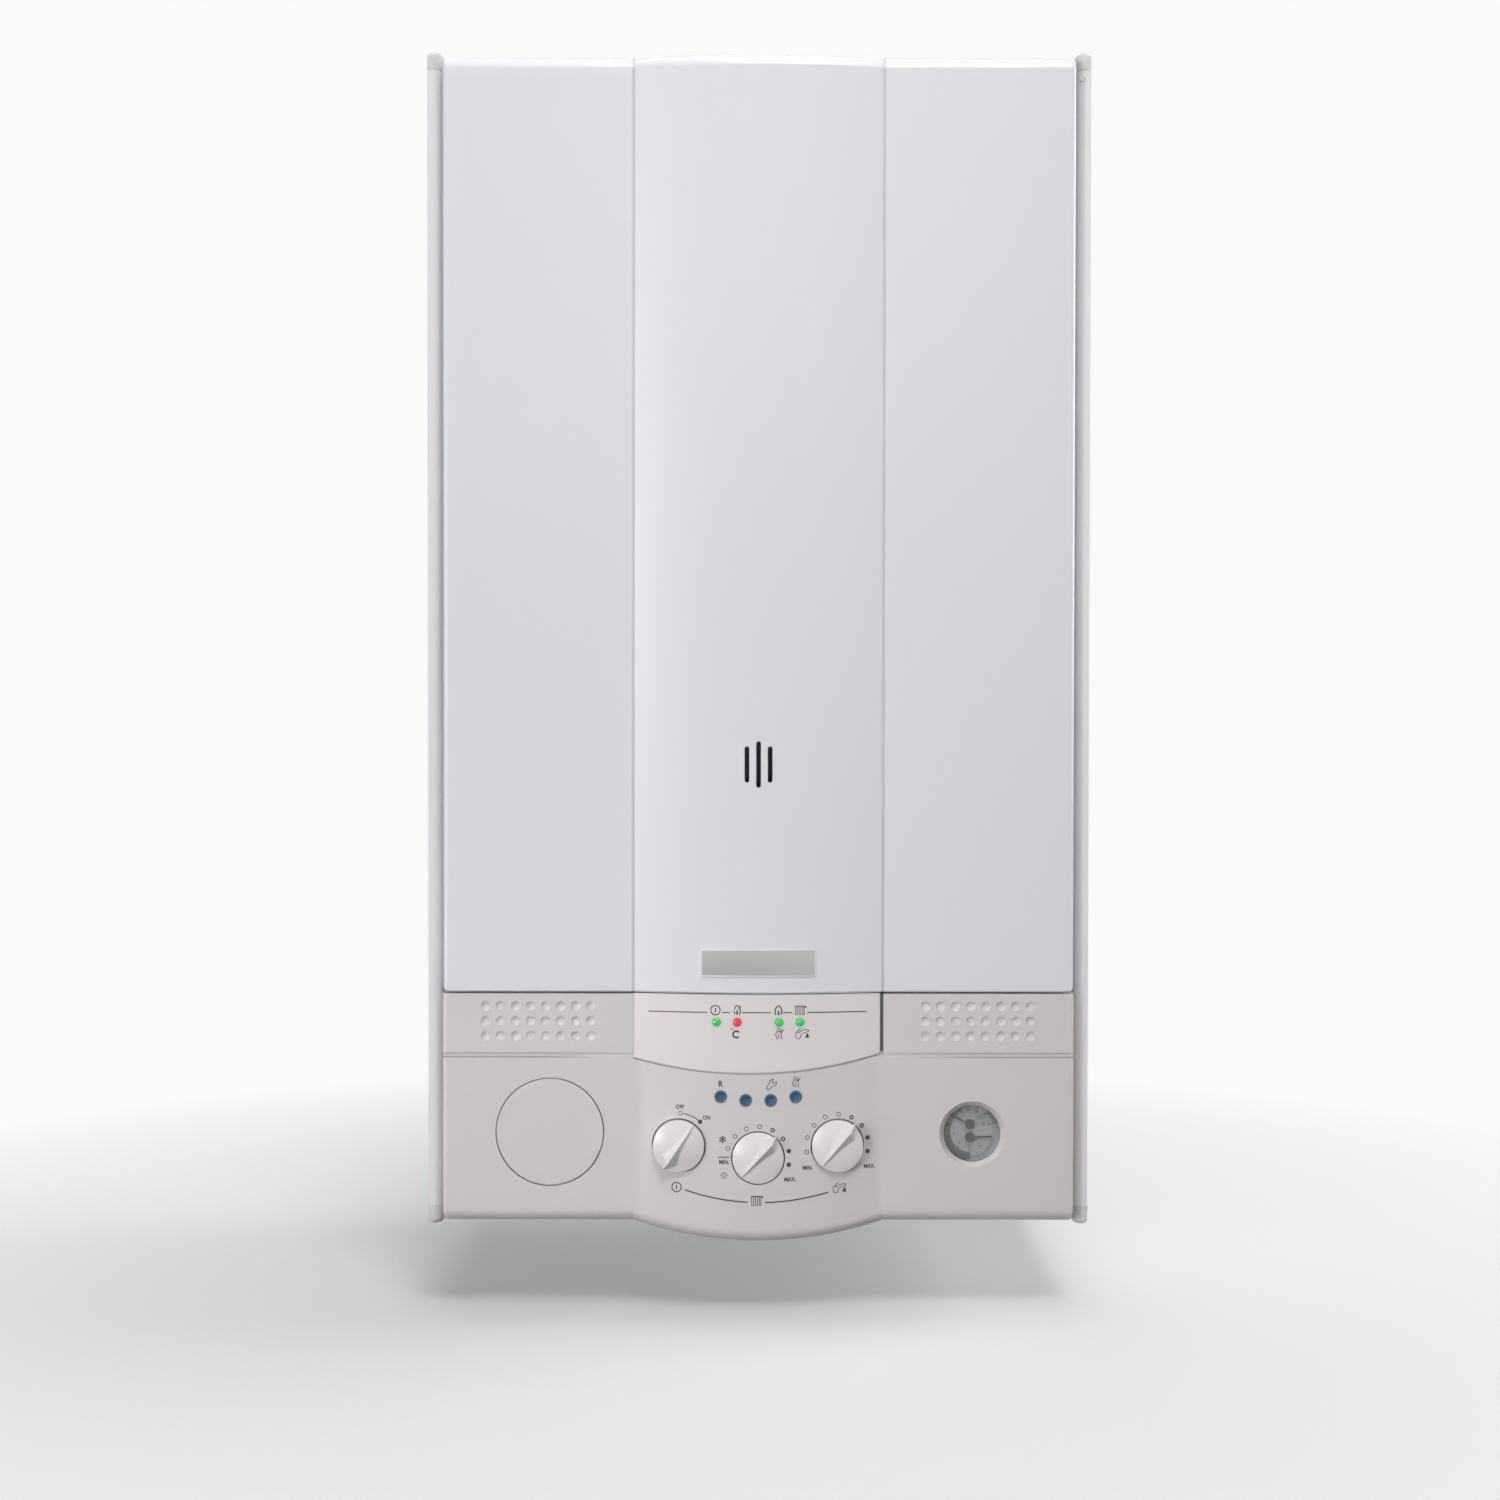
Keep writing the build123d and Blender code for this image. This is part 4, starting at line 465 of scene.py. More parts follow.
@dataclass(frozen=True)
class Clear(Finish):
    """Clear sheet that shows what lies behind it."""

    alpha: float = 0.1

    def surface(self, graph: Graph) -> dict:
        """A thin clear coat of reflection with the rest let through."""
        return {"Base Color": rgba(self.colour), "Roughness": self.roughness, "Alpha": self.alpha, "IOR": 1.45}


@dataclass(frozen=True)
class Lens(Finish):
    """Coloured clear plastic that is lit from behind."""

    light: float = 0.25

    def surface(self, graph: Graph) -> dict:
        """Slightly cloudy colour with a soft glow of its own, under a glossy skin."""
        cloud = graph.noise(graph.place(), 500.0, 2.0)
        return {
            "Base Color": graph.mixed(cloud, shade(self.colour, 0.9), self.colour),
            "Roughness": self.roughness,
            "Emission Color": rgba(self.colour),
            "Emission Strength": self.light,
            "Coat Weight": 0.6,
            "Coat Roughness": 0.1,
        }


@dataclass(frozen=True)
class PrintInk(Finish):
    """Screen-printed ink, a little uneven."""

    def surface(self, graph: Graph) -> dict:
        """Fine pinholes as paler dots."""
        hole = graph.noise(graph.place(), 3000.0, 1.0)
        return {
            "Base Color": graph.mixed(hole, self.colour, shade(self.colour, 1.25)),
            "Roughness": self.roughness,
        }


COVER_WHITE = CoverEnamel("cover enamel", linear(229, 228, 233), 0.34)
SIDE_WHITE = Enamel("side enamel", linear(228, 226, 228), 0.36)
CAP_GREY = Moulding("corner plastic", linear(214, 211, 211), 0.42)
PANEL = PanelMoulding("panel plastic", linear(215, 210, 209), 0.44)
STRIP = Moulding("strip plastic", linear(230, 222, 222), 0.40, 0.00001, 0.012)
KNOB = Moulding("knob plastic", linear(229, 225, 224), 0.30, 0.000006, 0.015)
BUTTON = Moulding("button blue", linear(36, 86, 116), 0.32, 0.000004, 0.05)
# A paler copy of the button blue: a painted highlight on the buttons' rounded rims.
BUTTON_RIM_HIGHLIGHT = Moulding("button rim painted highlight", linear(70, 112, 138), 0.34, 0.000004, 0.05)
INK = PrintInk("print dark grey", linear(62, 61, 66), 0.55)
GREEN_LAMP = Lens("lamp green", linear(36, 196, 68), 0.22, 0.22)
RED_LAMP = Lens("lamp red", linear(236, 40, 46), 0.22, 0.22)
DIAL = Moulding("dial grey", linear(160, 157, 160), 0.6, 0.00001)
DIAL_BAND = PrintInk("dial band", linear(86, 82, 84), 0.6)
DIAL_INK = PrintInk("dial ink", linear(44, 42, 45), 0.6)
DIAL_FAINT = PrintInk("dial faint ink", linear(112, 109, 112), 0.6)
NEEDLE = Moulding("needle black", linear(22, 19, 22), 0.4, 0.000004, 0.2)
BADGE = Badge("badge metal", linear(190, 188, 189), 0.34)
ZINC = Metal("zinc plated steel", linear(176, 177, 180), 0.36, Grain.DRAWN)
GALVANISED = Metal("galvanised sheet", linear(188, 191, 194), 0.42, Grain.GALVANISED)
ALUMINISED = Metal("aluminised sheet", linear(196, 197, 199), 0.40, Grain.DRAWN)
CAST_ALLOY = Metal("cast alloy", linear(186, 187, 190), 0.48, Grain.CAST)
STAINLESS = Metal("stainless steel", linear(184, 184, 187), 0.30, Grain.BRUSHED)
COPPER = Metal("bare copper", linear(198, 122, 86), 0.30, Grain.DRAWN)
BRASS = Metal("bare brass", linear(198, 168, 98), 0.36, Grain.CAST)
PUMP_GREY = Metal("pump casting paint", linear(96, 98, 103), 0.5, Grain.CAST)
COMPOSITE = Moulding("glass-filled composite", linear(66, 66, 70), 0.6, 0.00006, 0.15)
BLACK = Moulding("black plastic", linear(34, 34, 37), 0.5, 0.00003, 0.2)
RUBBER = Moulding("silicone seal", linear(48, 48, 50), 0.8, 0.00003, 0.1)
BOX_GREY = Moulding("control box grey", linear(178, 178, 181), 0.5, 0.00004, 0.04)
BOARD = Laminate("circuit board", linear(24, 92, 52), 0.35)
CERAMIC = Moulding("glazed ceramic", linear(236, 234, 226), 0.18, 0.000004, 0.03)
BOARD_FIBRE = Fibre("fibre board", linear(214, 208, 196), 0.9)
VESSEL_RED = Enamel("vessel enamel", linear(168, 36, 30), 0.3, 0.06)
KNOB_RED = Moulding("relief knob red", linear(186, 32, 30), 0.35, 0.00001, 0.05)
TAP_BLUE = Moulding("filling tap blue", linear(38, 78, 150), 0.35, 0.00001, 0.05)
GLASS = Clear("gauge glass", (0.95, 0.97, 0.97), 0.05, 0.06)
SIGHT = Clear("sight glass", (0.85, 0.90, 0.88), 0.08, 0.35)


def dressed(obj: bpy.types.Object, finish: Finish, body: str) -> bpy.types.Object:
    """Gives a new piece its finish and the body it rides on."""
    obj.data.materials.clear()
    obj.data.materials.append(finish.material())
    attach(obj, body)
    return obj


def body_of(node: str) -> str:
    """The body a CAD node rides on."""
    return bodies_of(frame["nodes"][node])[0]


@dataclass(frozen=True)
class Dimples:
    """The round dimples of the control panel, each part of a ball, in millimetres."""

    radius: float = 3.0
    depth: float = 1.2
    last: float = 168.4
    pitch: float = 9.28
    rows: tuple[float, ...] = (137.3, 128.1, 118.9)
    columns: int = 8
    front: float = 300.0
    skin: float = 0.01
    slack: float = 1.02

    def balls(self) -> tuple[np.ndarray, float]:
        """Middles of the balls and their radius, in metres."""
        ball = (self.radius**2 + self.depth**2) / (2 * self.depth)
        x = self.last - self.pitch * np.arange(self.columns)
        x, z = np.meshgrid(np.concatenate([x, -x]), np.array(self.rows))
        return placed(x, self.front + ball - self.depth, z).reshape(-1, 3), ball * MM

    def hollow(self, middle: np.ndarray, point: np.ndarray, normal: np.ndarray) -> None:
        """Turns the normals of the faces inside a dimple to the middle of its ball.

        Args:
            middle: the middle of the face at each corner.
            point: the place of each corner.
            normal: the normals, changed in place.
        """
        balls, reach = self.balls()
        for ball in balls:
            near = np.abs(middle - ball).max(axis=1) < reach
            inside = np.flatnonzero(near)[np.linalg.norm(middle[near] - ball, axis=1) < reach * self.slack]
            inside = inside[middle[inside, 1] > (self.skin - self.front) * MM]
            normal[inside] = unit(ball - point[inside])


# A plane this many times larger than another counts as a large flat area beside it, and mixes with it
# only where they differ by less than the second figure, in degrees.
LARGE_SHARE, LARGE_CREASE = 25.0, 14.0


def level_normals(mesh: bpy.types.Mesh, crease: float, dimples: Dimples | None = None) -> None:
    """Gives a mesh shading normals that follow its large flat areas.

    The triangles of one plane count as one face. The normal at a corner is the sum of the planes that meet
    there within the crease angle, each by its whole area, so that a flat face shades flat up to its rounded
    edges. A large flat face mixes only with planes nearly level with it.

    Args:
        mesh: the mesh, with every face smooth.
        crease: planes that differ by more than this many degrees don't mix.
        dimples: ball-shaped hollows with normals of their own.
    """
    normal, centre = gathered(mesh.polygons, "normal", 3), gathered(mesh.polygons, "center", 3)
    area, sides = gathered(mesh.polygons, "area"), gathered(mesh.polygons, "loop_total", kind=int)
    point = gathered(mesh.loops, "vertex_index", kind=int)
    key = np.column_stack([normal.round(3), (normal * centre).sum(axis=1).round(5)])
    plane = np.unique(key, axis=0, return_inverse=True)[1].ravel()
    size = np.bincount(plane, weights=area)
    way = np.column_stack([np.bincount(plane, weights=area * normal[:, axis]) for axis in range(3)])
    way /= np.linalg.norm(way, axis=1, keepdims=True) + 1e-12
    meeting, spot = np.unique(point * len(size) + np.repeat(plane, sides), return_inverse=True)
    owner, which = meeting // len(size), meeting % len(size)
    first, last = np.searchsorted(owner, owner, "left"), np.searchsorted(owner, owner, "right")
    total = np.zeros((len(meeting), 3))
    for step in range(int((last - first).max())):
        other = which[np.minimum(first + step, len(meeting) - 1)]
        uneven = np.maximum(size[which], size[other]) > LARGE_SHARE * np.minimum(size[which], size[other])
        limit = np.cos(np.radians(np.where(uneven, min(crease, LARGE_CREASE), crease)))
        near = (first + step < last) & ((way[which] * way[other]).sum(axis=1) > limit)
        total[near] += (way[other] * size[other, None])[near]
    total /= np.linalg.norm(total, axis=1, keepdims=True) + 1e-12
    normals = total[spot.ravel()]
    if dimples:
        dimples.hollow(np.repeat(centre, sides, axis=0), gathered(mesh.vertices, "co", 3)[point], normals)
    mesh.normals_split_custom_set(normals.tolist())


def smooth_copy(node: str, finish: Finish, crease: float = 28.0) -> bpy.types.Object:
    """Copies a CAD node with its triangles joined, rounds its shading and lets the copy stand for it.

    Args:
        node: name of the CAD node.
        finish: what its surface is.
        crease: edges that turn by more than this many degrees stay sharp.

    Returns:
        The new piece.
    """
    mesh = frame["nodes"][node].data.copy()
    mesh.name = f"{node}_dressed"
    work = bmesh.new()
    work.from_mesh(mesh)
    bmesh.ops.remove_doubles(work, verts=work.verts, dist=1e-6)
    for face in work.faces:
        face.smooth = True
    work.to_mesh(mesh)
    work.free()
    mesh.set_sharp_from_angle(angle=math.radians(crease))
    level_normals(mesh, crease, Dimples() if node == "fascia" else None)
    obj = dressed(added(f"{node}_dressed", mesh), finish, body_of(node))
    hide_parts(node)
    return obj


def mesh_piece(
    name: str, points: np.ndarray, faces: np.ndarray | list, finish: Finish, node: str, sharp: float = 35.0,
) -> bpy.types.Object:
    """Makes a piece from arrays, on the body of a node.

    Args:
        name: its name.
        points: its points, in metres.
        faces: the faces, as numbers of points.
        finish: what its surface is.
        node: the CAD node whose body it takes.
        sharp: edges that turn by more than this many degrees stay sharp; with nought all faces stay flat.

    Returns:
        The new piece.
    """
    mesh = bpy.data.meshes.new(name)
    mesh.from_pydata(np.asarray(points).reshape(-1, 3).tolist(), [], [list(map(int, f)) for f in faces])
    mesh.update()
    if sharp:
        mesh.shade_smooth()
        mesh.set_sharp_from_angle(angle=math.radians(sharp))
    return dressed(added(name, mesh), finish, body_of(node))


def grid_faces(rows: int, columns: int) -> np.ndarray:
    """Four-sided faces of a grid of points that closes round its columns."""
    i, j = np.meshgrid(np.arange(rows - 1), np.arange(columns), indexing="ij")
    k = (j + 1) % columns
    quad = [i * columns + j, i * columns + k, (i + 1) * columns + k, (i + 1) * columns + j]
    return np.stack(quad, axis=-1).reshape(-1, 4)


def turned(profile: np.ndarray, steps: int) -> tuple[np.ndarray, np.ndarray]:
    """Surface of a profile turned about an axis that points out of the front.

    Each point of the profile is a radius and a height along the axis. The surface is the radius times
    the cosine and sine of the angle, across and up, at that height. Both ends lie at the axis.

    Args:
        profile: radii and heights, from the back round to the front's middle.
        steps: copies round the axis.

    Returns:
        Points as across, out and up in millimetres, and faces.
    """
    radius, height = profile[:, 0][:, None], profile[:, 1][:, None]
    angle = np.linspace(0, 2 * np.pi, steps, endpoint=False)[None, :]
    points = np.stack(np.broadcast_arrays(radius * np.cos(angle), height, radius * np.sin(angle)), axis=-1)
    return points.reshape(-1, 3), grid_faces(len(profile), steps)


# ---- print ----
@dataclass
class Artwork:
    """Flat figures in millimetres, gathered to be pressed on a surface as one piece."""

    points: list = field(default_factory=list)
    faces: list = field(default_factory=list)
    count: int = 0

    def add(self, points: np.ndarray, faces: Iterable[Sequence[int]]) -> None:
        """Adds points across and up, and faces counted from their first point."""
        self.faces += [[int(i) + self.count for i in face] for face in faces]
        self.points.append(np.asarray(points, float))
        self.count += len(points)

    def line(self, path: Path, width: float, closed: bool = False) -> None:
        """A stroke of even width along a path: the path moved half the width to both sides of its tangent."""
        path = np.asarray(path, float)
        if closed:
            ahead, behind = np.roll(path, -1, axis=0), np.roll(path, 1, axis=0)
        else:
            ahead, behind = np.vstack([path[1:], path[-1:]]), np.vstack([path[:1], path[:-1]])
        run_in, run_out = unit(path - behind), unit(ahead - path)
        along = unit(run_in + run_out)
        one_side = np.where(run_in.any(axis=1, keepdims=True), run_in, run_out)
        mitre = np.clip((along * one_side).sum(axis=1, keepdims=True), 0.6, 1.0)
        side = np.stack([-along[:, 1], along[:, 0]], axis=1) * width / 2 / mitre
        n = len(path)
        right, left = path - side, path + side
        step = np.arange(n if closed else n - 1)
        after = (step + 1) % n
        self.add(np.vstack([right, left]), np.stack([step, after, after + n, step + n], axis=1))

    def arc(self, middle: Sequence[float], r: float, start: float, end: float, width: float) -> None:
        """A stroke along part of a circle, between two clockwise angles from upright."""
        self.line(polar(middle, r, np.linspace(end, start, max(6, int(abs(end - start) / 6)))), width)

    def ring(self, middle: Sequence[float], r: float, width: float) -> None:
        """A circle drawn with a stroke."""
        self.line(polar(middle, r, np.linspace(360, 0, 40, endpoint=False)), width, True)

    def dot(self, middle: Sequence[float], r: float) -> None:
        """A filled circle."""
        self.shape(polar(middle, r, np.linspace(360, 0, 28, endpoint=False)))

    def shape(self, outline: Path) -> None:
        """A filled outline, given anticlockwise."""
        self.add(np.asarray(outline, float), [range(len(outline))])

    def letters(
        self, text: str, middle: Sequence[float], height: float, squeeze: float, bold: float = 0.0,
    ) -> None:
        """Plain capitals or figures.

        Args:
            text: what it says.
            middle: its middle, across and up.
            height: height of the capitals.
            squeeze: width of the letters as a share of their usual width.
            bold: how much thicker the strokes are, as a share of the height.
        """
        curve = bpy.data.curves.new("letters", "FONT")
        curve.body, curve.resolution_u, curve.offset = text, 3, bold
        holder = added("letters", curve)
        shape = bpy.data.meshes.new_from_object(holder.evaluated_get(bpy.context.evaluated_depsgraph_get()))
        flat = gathered(shape.vertices, "co", 3)[:, :2]
        faces = [list(p.vertices) for p in shape.polygons]
        low, high = flat.min(0), flat.max(0)
        size = height / (high[1] - low[1])
        flat = (flat - (low + high) / 2) * (size * squeeze, size) + np.asarray(middle)
        bpy.data.objects.remove(holder)
        bpy.data.curves.remove(curve)
        bpy.data.meshes.remove(shape)
        self.add(flat, faces)


class Icon(Enum):
    """Plain signs on the panel."""

    POWER = "power"
    FLAME = "flame"
    CROSSED_FLAME = "crossed flame"
    RADIATOR = "radiator"
    TAP = "tap"
    BRUSH = "brush"
    SNOWFLAKE = "snowflake"
    SUN = "sun"
    SPANNER = "spanner"


def bent(*corners: tuple[float, float], steps: int = 6) -> np.ndarray:
    """A smooth path through points, by cubics whose slopes are the chords of the neighbouring points."""
    points = np.array([corners[0], *corners, corners[-1]], float)
    t = np.linspace(0, 1, steps, endpoint=False)[:, None]
    runs = []
    for p, q, r, s in zip(points, points[1:], points[2:], points[3:]):
        runs.append(q + 0.5 * t * (r - p + t * (2 * p - 5 * q + 4 * r - s + t * (3 * (q - r) + s - p))))
    return np.vstack([*runs, points[-1:]])


@dataclass(frozen=True)
class Sign:
    """A sign made of strokes, filled outlines and rings, in millimetres round its middle."""

    strokes: tuple[tuple[Path, float], ...] = ()
    fills: tuple[Path, ...] = ()
    rings: tuple[tuple[float, float, float, float], ...] = ()

    def draw(self, art: Artwork, x: float, z: float, size: float = 1.0) -> None:
        """Draws the sign with its middle at a place, scaled."""
        at = np.array([x, z])
        for path, width in self.strokes:
            art.line(np.asarray(path, float) * size + at, width * size)
        for outline in self.fills:
            art.shape(np.asarray(outline, float) * size + at)
        for across, up, r, width in self.rings:
            art.ring(at + np.array([across, up]) * size, r * size, width * size)


def rays(count: int, near: float, far: float, width: float) -> tuple[tuple[Path, float], ...]:
    """Straight strokes that point away from the middle, evenly spaced from upright."""
    ends = np.array([near, far])
    return tuple((polar((0, 0), ends, 360 * i / count), width) for i in range(count))


FLAME_ARCH = bent((-1.75, -3.0), (-2.0, -0.6), (-1.3, 1.6), (0.0, 2.75), (1.3, 1.7), (2.0, -0.4), (1.4, -3.0))
FLAME_CORE = bent((-0.55, -3.0), (-0.5, -1.4), (0.0, -0.2), (0.5, -1.4), (0.55, -3.0))[::-1]
SIGNS = {
    Icon.POWER: Sign(((((0, -1.45), (0, 1.45)), 0.72),), (), ((0.0, 0.0, 2.88, 0.7),)),
    Icon.FLAME: Sign(((FLAME_ARCH, 0.75),), (FLAME_CORE,)),
    Icon.CROSSED_FLAME: Sign(
        ((FLAME_ARCH[9:], 0.68), (FLAME_ARCH[:10], 0.4), (((-2.1, -2.6), (2.5, 2.4)), 0.42)), (FLAME_CORE,),
    ),
    Icon.RADIATOR: Sign(
        tuple((((x, -2.8), (x, 2.6)), 0.42) for x in (-2.9, -1.75, -0.6, 0.55, 1.7, 2.6))
        + tuple((((x, -2.7), (x + 0.8, -2.7)), 0.4) for x in (-2.75, -0.4, 1.75))
        + ((((-3.1, 2.6), (2.9, 2.6)), 0.55), (((2.9, 2.1), (4.0, 2.1)), 0.85)),
    ),
    Icon.TAP: Sign(
        (
            (((-0.6, 3.3), (-1.6, 2.5), (-3.9, -0.1)), 0.55),
            (((-3.9, -0.1), (-3.3, -3.2), (-1.1, -3.2)), 0.42),
            (bent((-1.1, -3.2), (-0.7, -1.3), (0.6, 0.1), (4.1, 1.2)), 0.45),
            (bent((-1.9, 0.6), (-0.2, 1.7), (1.8, 2.2), (4.1, 2.3)), 0.45),
            (((4.1, 2.3), (4.1, 1.2)), 0.5),
            (((-2.3, 0.9), (-1.5, 0.2)), 0.5),
        ),
        (((2.1, -2.7), (4.6, -2.7), (3.9, 0.0), (3.0, 0.0)),),
    ),
    Icon.BRUSH: Sign(
        (
            (bent((-0.6, 1.4), (-1.8, -0.2), (-1.5, -1.7), (-1.1, -3.2)), 0.5),
            (((0.5, 1.4), (1.9, -0.1)), 0.5), (((0.9, 0.4), (3.1, 2.7)), 0.36),
            (((0.7, 2.2), (2.0, 0.7)), 0.3), (((1.5, 2.6), (2.7, 1.4)), 0.3),
            (bent((0.2, -0.4), (-0.3, -1.6), (0.4, -3.0)), 0.42),
            (bent((1.2, -0.4), (1.6, -1.6), (1.8, -3.2)), 0.5),
        ), (), ((-0.1, 2.2, 0.95, 0.42),),
    ),
    Icon.SNOWFLAKE: Sign(rays(6, 0.0, 2.2, 0.62) + tuple(
        (np.array([(0.0, 1.25), (side * 0.62, 2.0)]) @ np.array([[c, -s], [s, c]]), 0.42)
        for side in (-1, 1)
        for s, c in (clock(60 * i) for i in range(6))
    )),
    Icon.SUN: Sign(rays(8, 1.75, 2.55, 0.42), (), ((0.0, 0.0, 1.1, 0.42),)),
    Icon.SPANNER: Sign((((
        (-2.2, -3.4), (-3.1, -2.9), (-3.3, -1.9), (-1.3, 1.0), (-1.3, 2.4), (0.4, 3.5), (1.3, 3.3), (0.0, 1.9),
        (1.1, 0.6), (2.7, 1.7), (3.1, 1.3), (2.5, -0.5), (0.4, -1.0), (-1.6, -3.2), (-2.2, -3.4),
    ), 0.5),)),
}


# ---- shapes of the front ----
@dataclass(frozen=True)
class Front:
    """The bowed front: its flat zones, its middle zone and the strip that stands out from it."""

    flat: float = 300.0
    bow: float = 9.0
    crease: float = 77.0
    strip_proud: float = 0.6

    def depth(self, x: Number, proud: float = 0.0) -> Number:
        """Depth of the surface: a circle through both creases and the middle, and flat beyond them."""
        r = (self.crease**2 + self.bow**2) / (2 * self.bow)
        middle = self.flat + self.bow - r
        inside = np.sqrt(np.maximum((r + proud) ** 2 - np.minimum(np.abs(x), self.crease) ** 2, 0.0))
        return np.where(np.abs(x) < self.crease, middle + inside, self.flat + proud)


FRONT = Front()


def pressed(art: Artwork, name: str, finish: Finish, node: str, proud: float) -> None:
    """Lays artwork on the front: each point takes the surface's depth at its place plus the ink's height."""
    flat = np.vstack(art.points)
    points = placed(flat[:, 0], FRONT.depth(flat[:, 0], proud), flat[:, 1])
    mesh_piece(name, points, art.faces, finish, node, 0.0)


INK_LIFT = 0.13
# A radius that stands for a turned shape's own axis.
AXIS = 1e-4


@dataclass
class LampStrip:
    """Print and lamps of the strip at the top of the panel."""

    lamp_x: tuple[float, ...] = (-25.6, -12.9, 12.9, 25.6)
    lamp_z: float = 128.6
    lamp_r: float = 2.65
    lens_foot: float = -4.0
    lens_edge: float = 0.1
    lens_dome: float = 1.25
    line_z: float = 134.6
    runs: tuple[tuple[float, float], ...] = (
        (-67.8, -31.2), (-22.2, -17.2), (-9.9, 7.8), (15.3, 20.7), (30.2, 66.8),
    )

    def prints(self) -> None:
        """The broken line, the signs above it and the signs below the lamps."""
        art = Artwork()
        for left, right in self.runs:
            art.line([(left + step * (right - left), self.line_z) for step in np.linspace(0, 1, 24)], 0.62)
        for icon, x, z, size in (
            (Icon.POWER, -26.3, 136.0, 1.0), (Icon.CROSSED_FLAME, -12.9, 136.2, 1.0),
            (Icon.FLAME, 12.4, 136.1, 1.0), (Icon.RADIATOR, 25.7, 135.9, 1.0),
            (Icon.BRUSH, 12.7, 121.6, 1.05), (Icon.TAP, 26.8, 121.7, 1.0),
        ):
            SIGNS[icon].draw(art, x, z, size)
        art.letters("C", (-13.9, 121.2), 5.1, 0.92, 0.035)
        art.ring((-16.3, 124.4), 0.55, 0.3)
        pressed(art, "strip_print", INK, "display_strip", FRONT.strip_proud + INK_LIFT)

    def lenses(self) -> None:
        """Four domed lenses: a quarter ellipse turned about each lamp's axis."""
        t = np.linspace(0, np.pi / 2, 12)[:-1]
        dome = np.stack([self.lamp_r * np.cos(t), self.lens_edge + self.lens_dome * np.sin(t)], axis=1)
        foot = [(AXIS, self.lens_foot), (self.lamp_r, self.lens_foot)]
        points, faces = turned(np.vstack([foot, dome, [(AXIS, self.lens_edge + self.lens_dome)]]), 48)
        for i, x in enumerate(self.lamp_x):
            spot = placed(*(points + (x, FRONT.depth(x, FRONT.strip_proud), self.lamp_z)).T)
            finish = RED_LAMP if i == 1 else GREEN_LAMP
            piece = mesh_piece(f"lamp_lens_{i + 1}", spot, faces, finish, "lamp_lenses")
            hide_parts("lamp_lenses")

    def build(self) -> None:
        """Makes the print and the lamps."""
        self.prints()
        self.lenses()


@dataclass
class PushButtons:
    """Four dished push buttons and the signs above them."""

    names: tuple[str, ...] = ("reset_button", "mode_button", "service_button", "sweep_button")
    x: tuple[float, ...] = (-23.0, -7.65, 7.65, 23.0)
    z: tuple[float, ...] = (82.6, 80.5, 80.5, 82.6)
    r: float = 3.6
    proud: float = 1.0
    lip_r: float = 4.6
    lip_set: float = 3.5
    lip_h: float = 1.0
    stem_r: float = 1.6
    stem_depth: float = 290.5
    rim_w: float = 1.0
    rim_h: float = 0.4
    dish_h: float = 0.85

    def caps(self) -> None:
        """Each cap is a stem, a flange behind the panel, a rounded rim and a dish, turned about its axis."""
        t, s = np.linspace(0, np.pi, 9), np.linspace(1, 0, 9)[1:]
        half, low = self.rim_w / 2, self.proud - self.rim_h
        rim = np.stack([self.r - half + half * np.cos(t), low + self.rim_h * np.sin(t)], axis=1)
        dish = np.stack([(self.r - self.rim_w) * s + AXIS, low + self.dish_h * (s**4 - 1)], axis=1)
        for name, x, z in zip(self.names, self.x, self.z):
            base = FRONT.depth(x)
            lip = FRONT.depth(abs(x) + self.lip_r) - self.lip_set - base
            stem, under = self.stem_depth - base, lip - self.lip_h
            back = [
                (AXIS, stem), (self.stem_r, stem), (self.stem_r, under), (self.lip_r, under), (self.lip_r, lip),
                (self.r, lip),
            ]
            points, faces = turned(np.vstack([back, rim, dish]), 56)
            piece = mesh_piece(f"{name}_cap", placed(*(points + (x, base, z)).T), faces, BUTTON, name)
            piece.data.materials.append(BUTTON_RIM_HIGHLIGHT.material())
            # The faces of the rim get the paler blue, a painted highlight on the rounded rim.
            far = np.hypot(points[:, 0], points[:, 2])[faces].mean(axis=1)
            on_rim = (far > self.r - self.rim_w) & (points[:, 1][faces].mean(axis=1) > low - 0.02)
            piece.data.polygons.foreach_set("material_index", on_rim.astype(int))
            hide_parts(name)

    def prints(self) -> None:
        """Letter and signs above three of the buttons."""
        art = Artwork()
        art.letters("R", (-22.9, 90.6), 3.8, 0.9, 0.03)
        SIGNS[Icon.SPANNER].draw(art, 8.3, 90.2, 0.98)
        SIGNS[Icon.BRUSH].draw(art, 23.0, 91.7, 1.0)
        pressed(art, "button_print", INK, "fascia", INK_LIFT)

    def build(self) -> None:
        """Makes the signs and the buttons."""
        self.prints()
        self.caps()


MARK_R = 1.42
THIN, THICK, FULL = 0.42, 0.78, 0.0


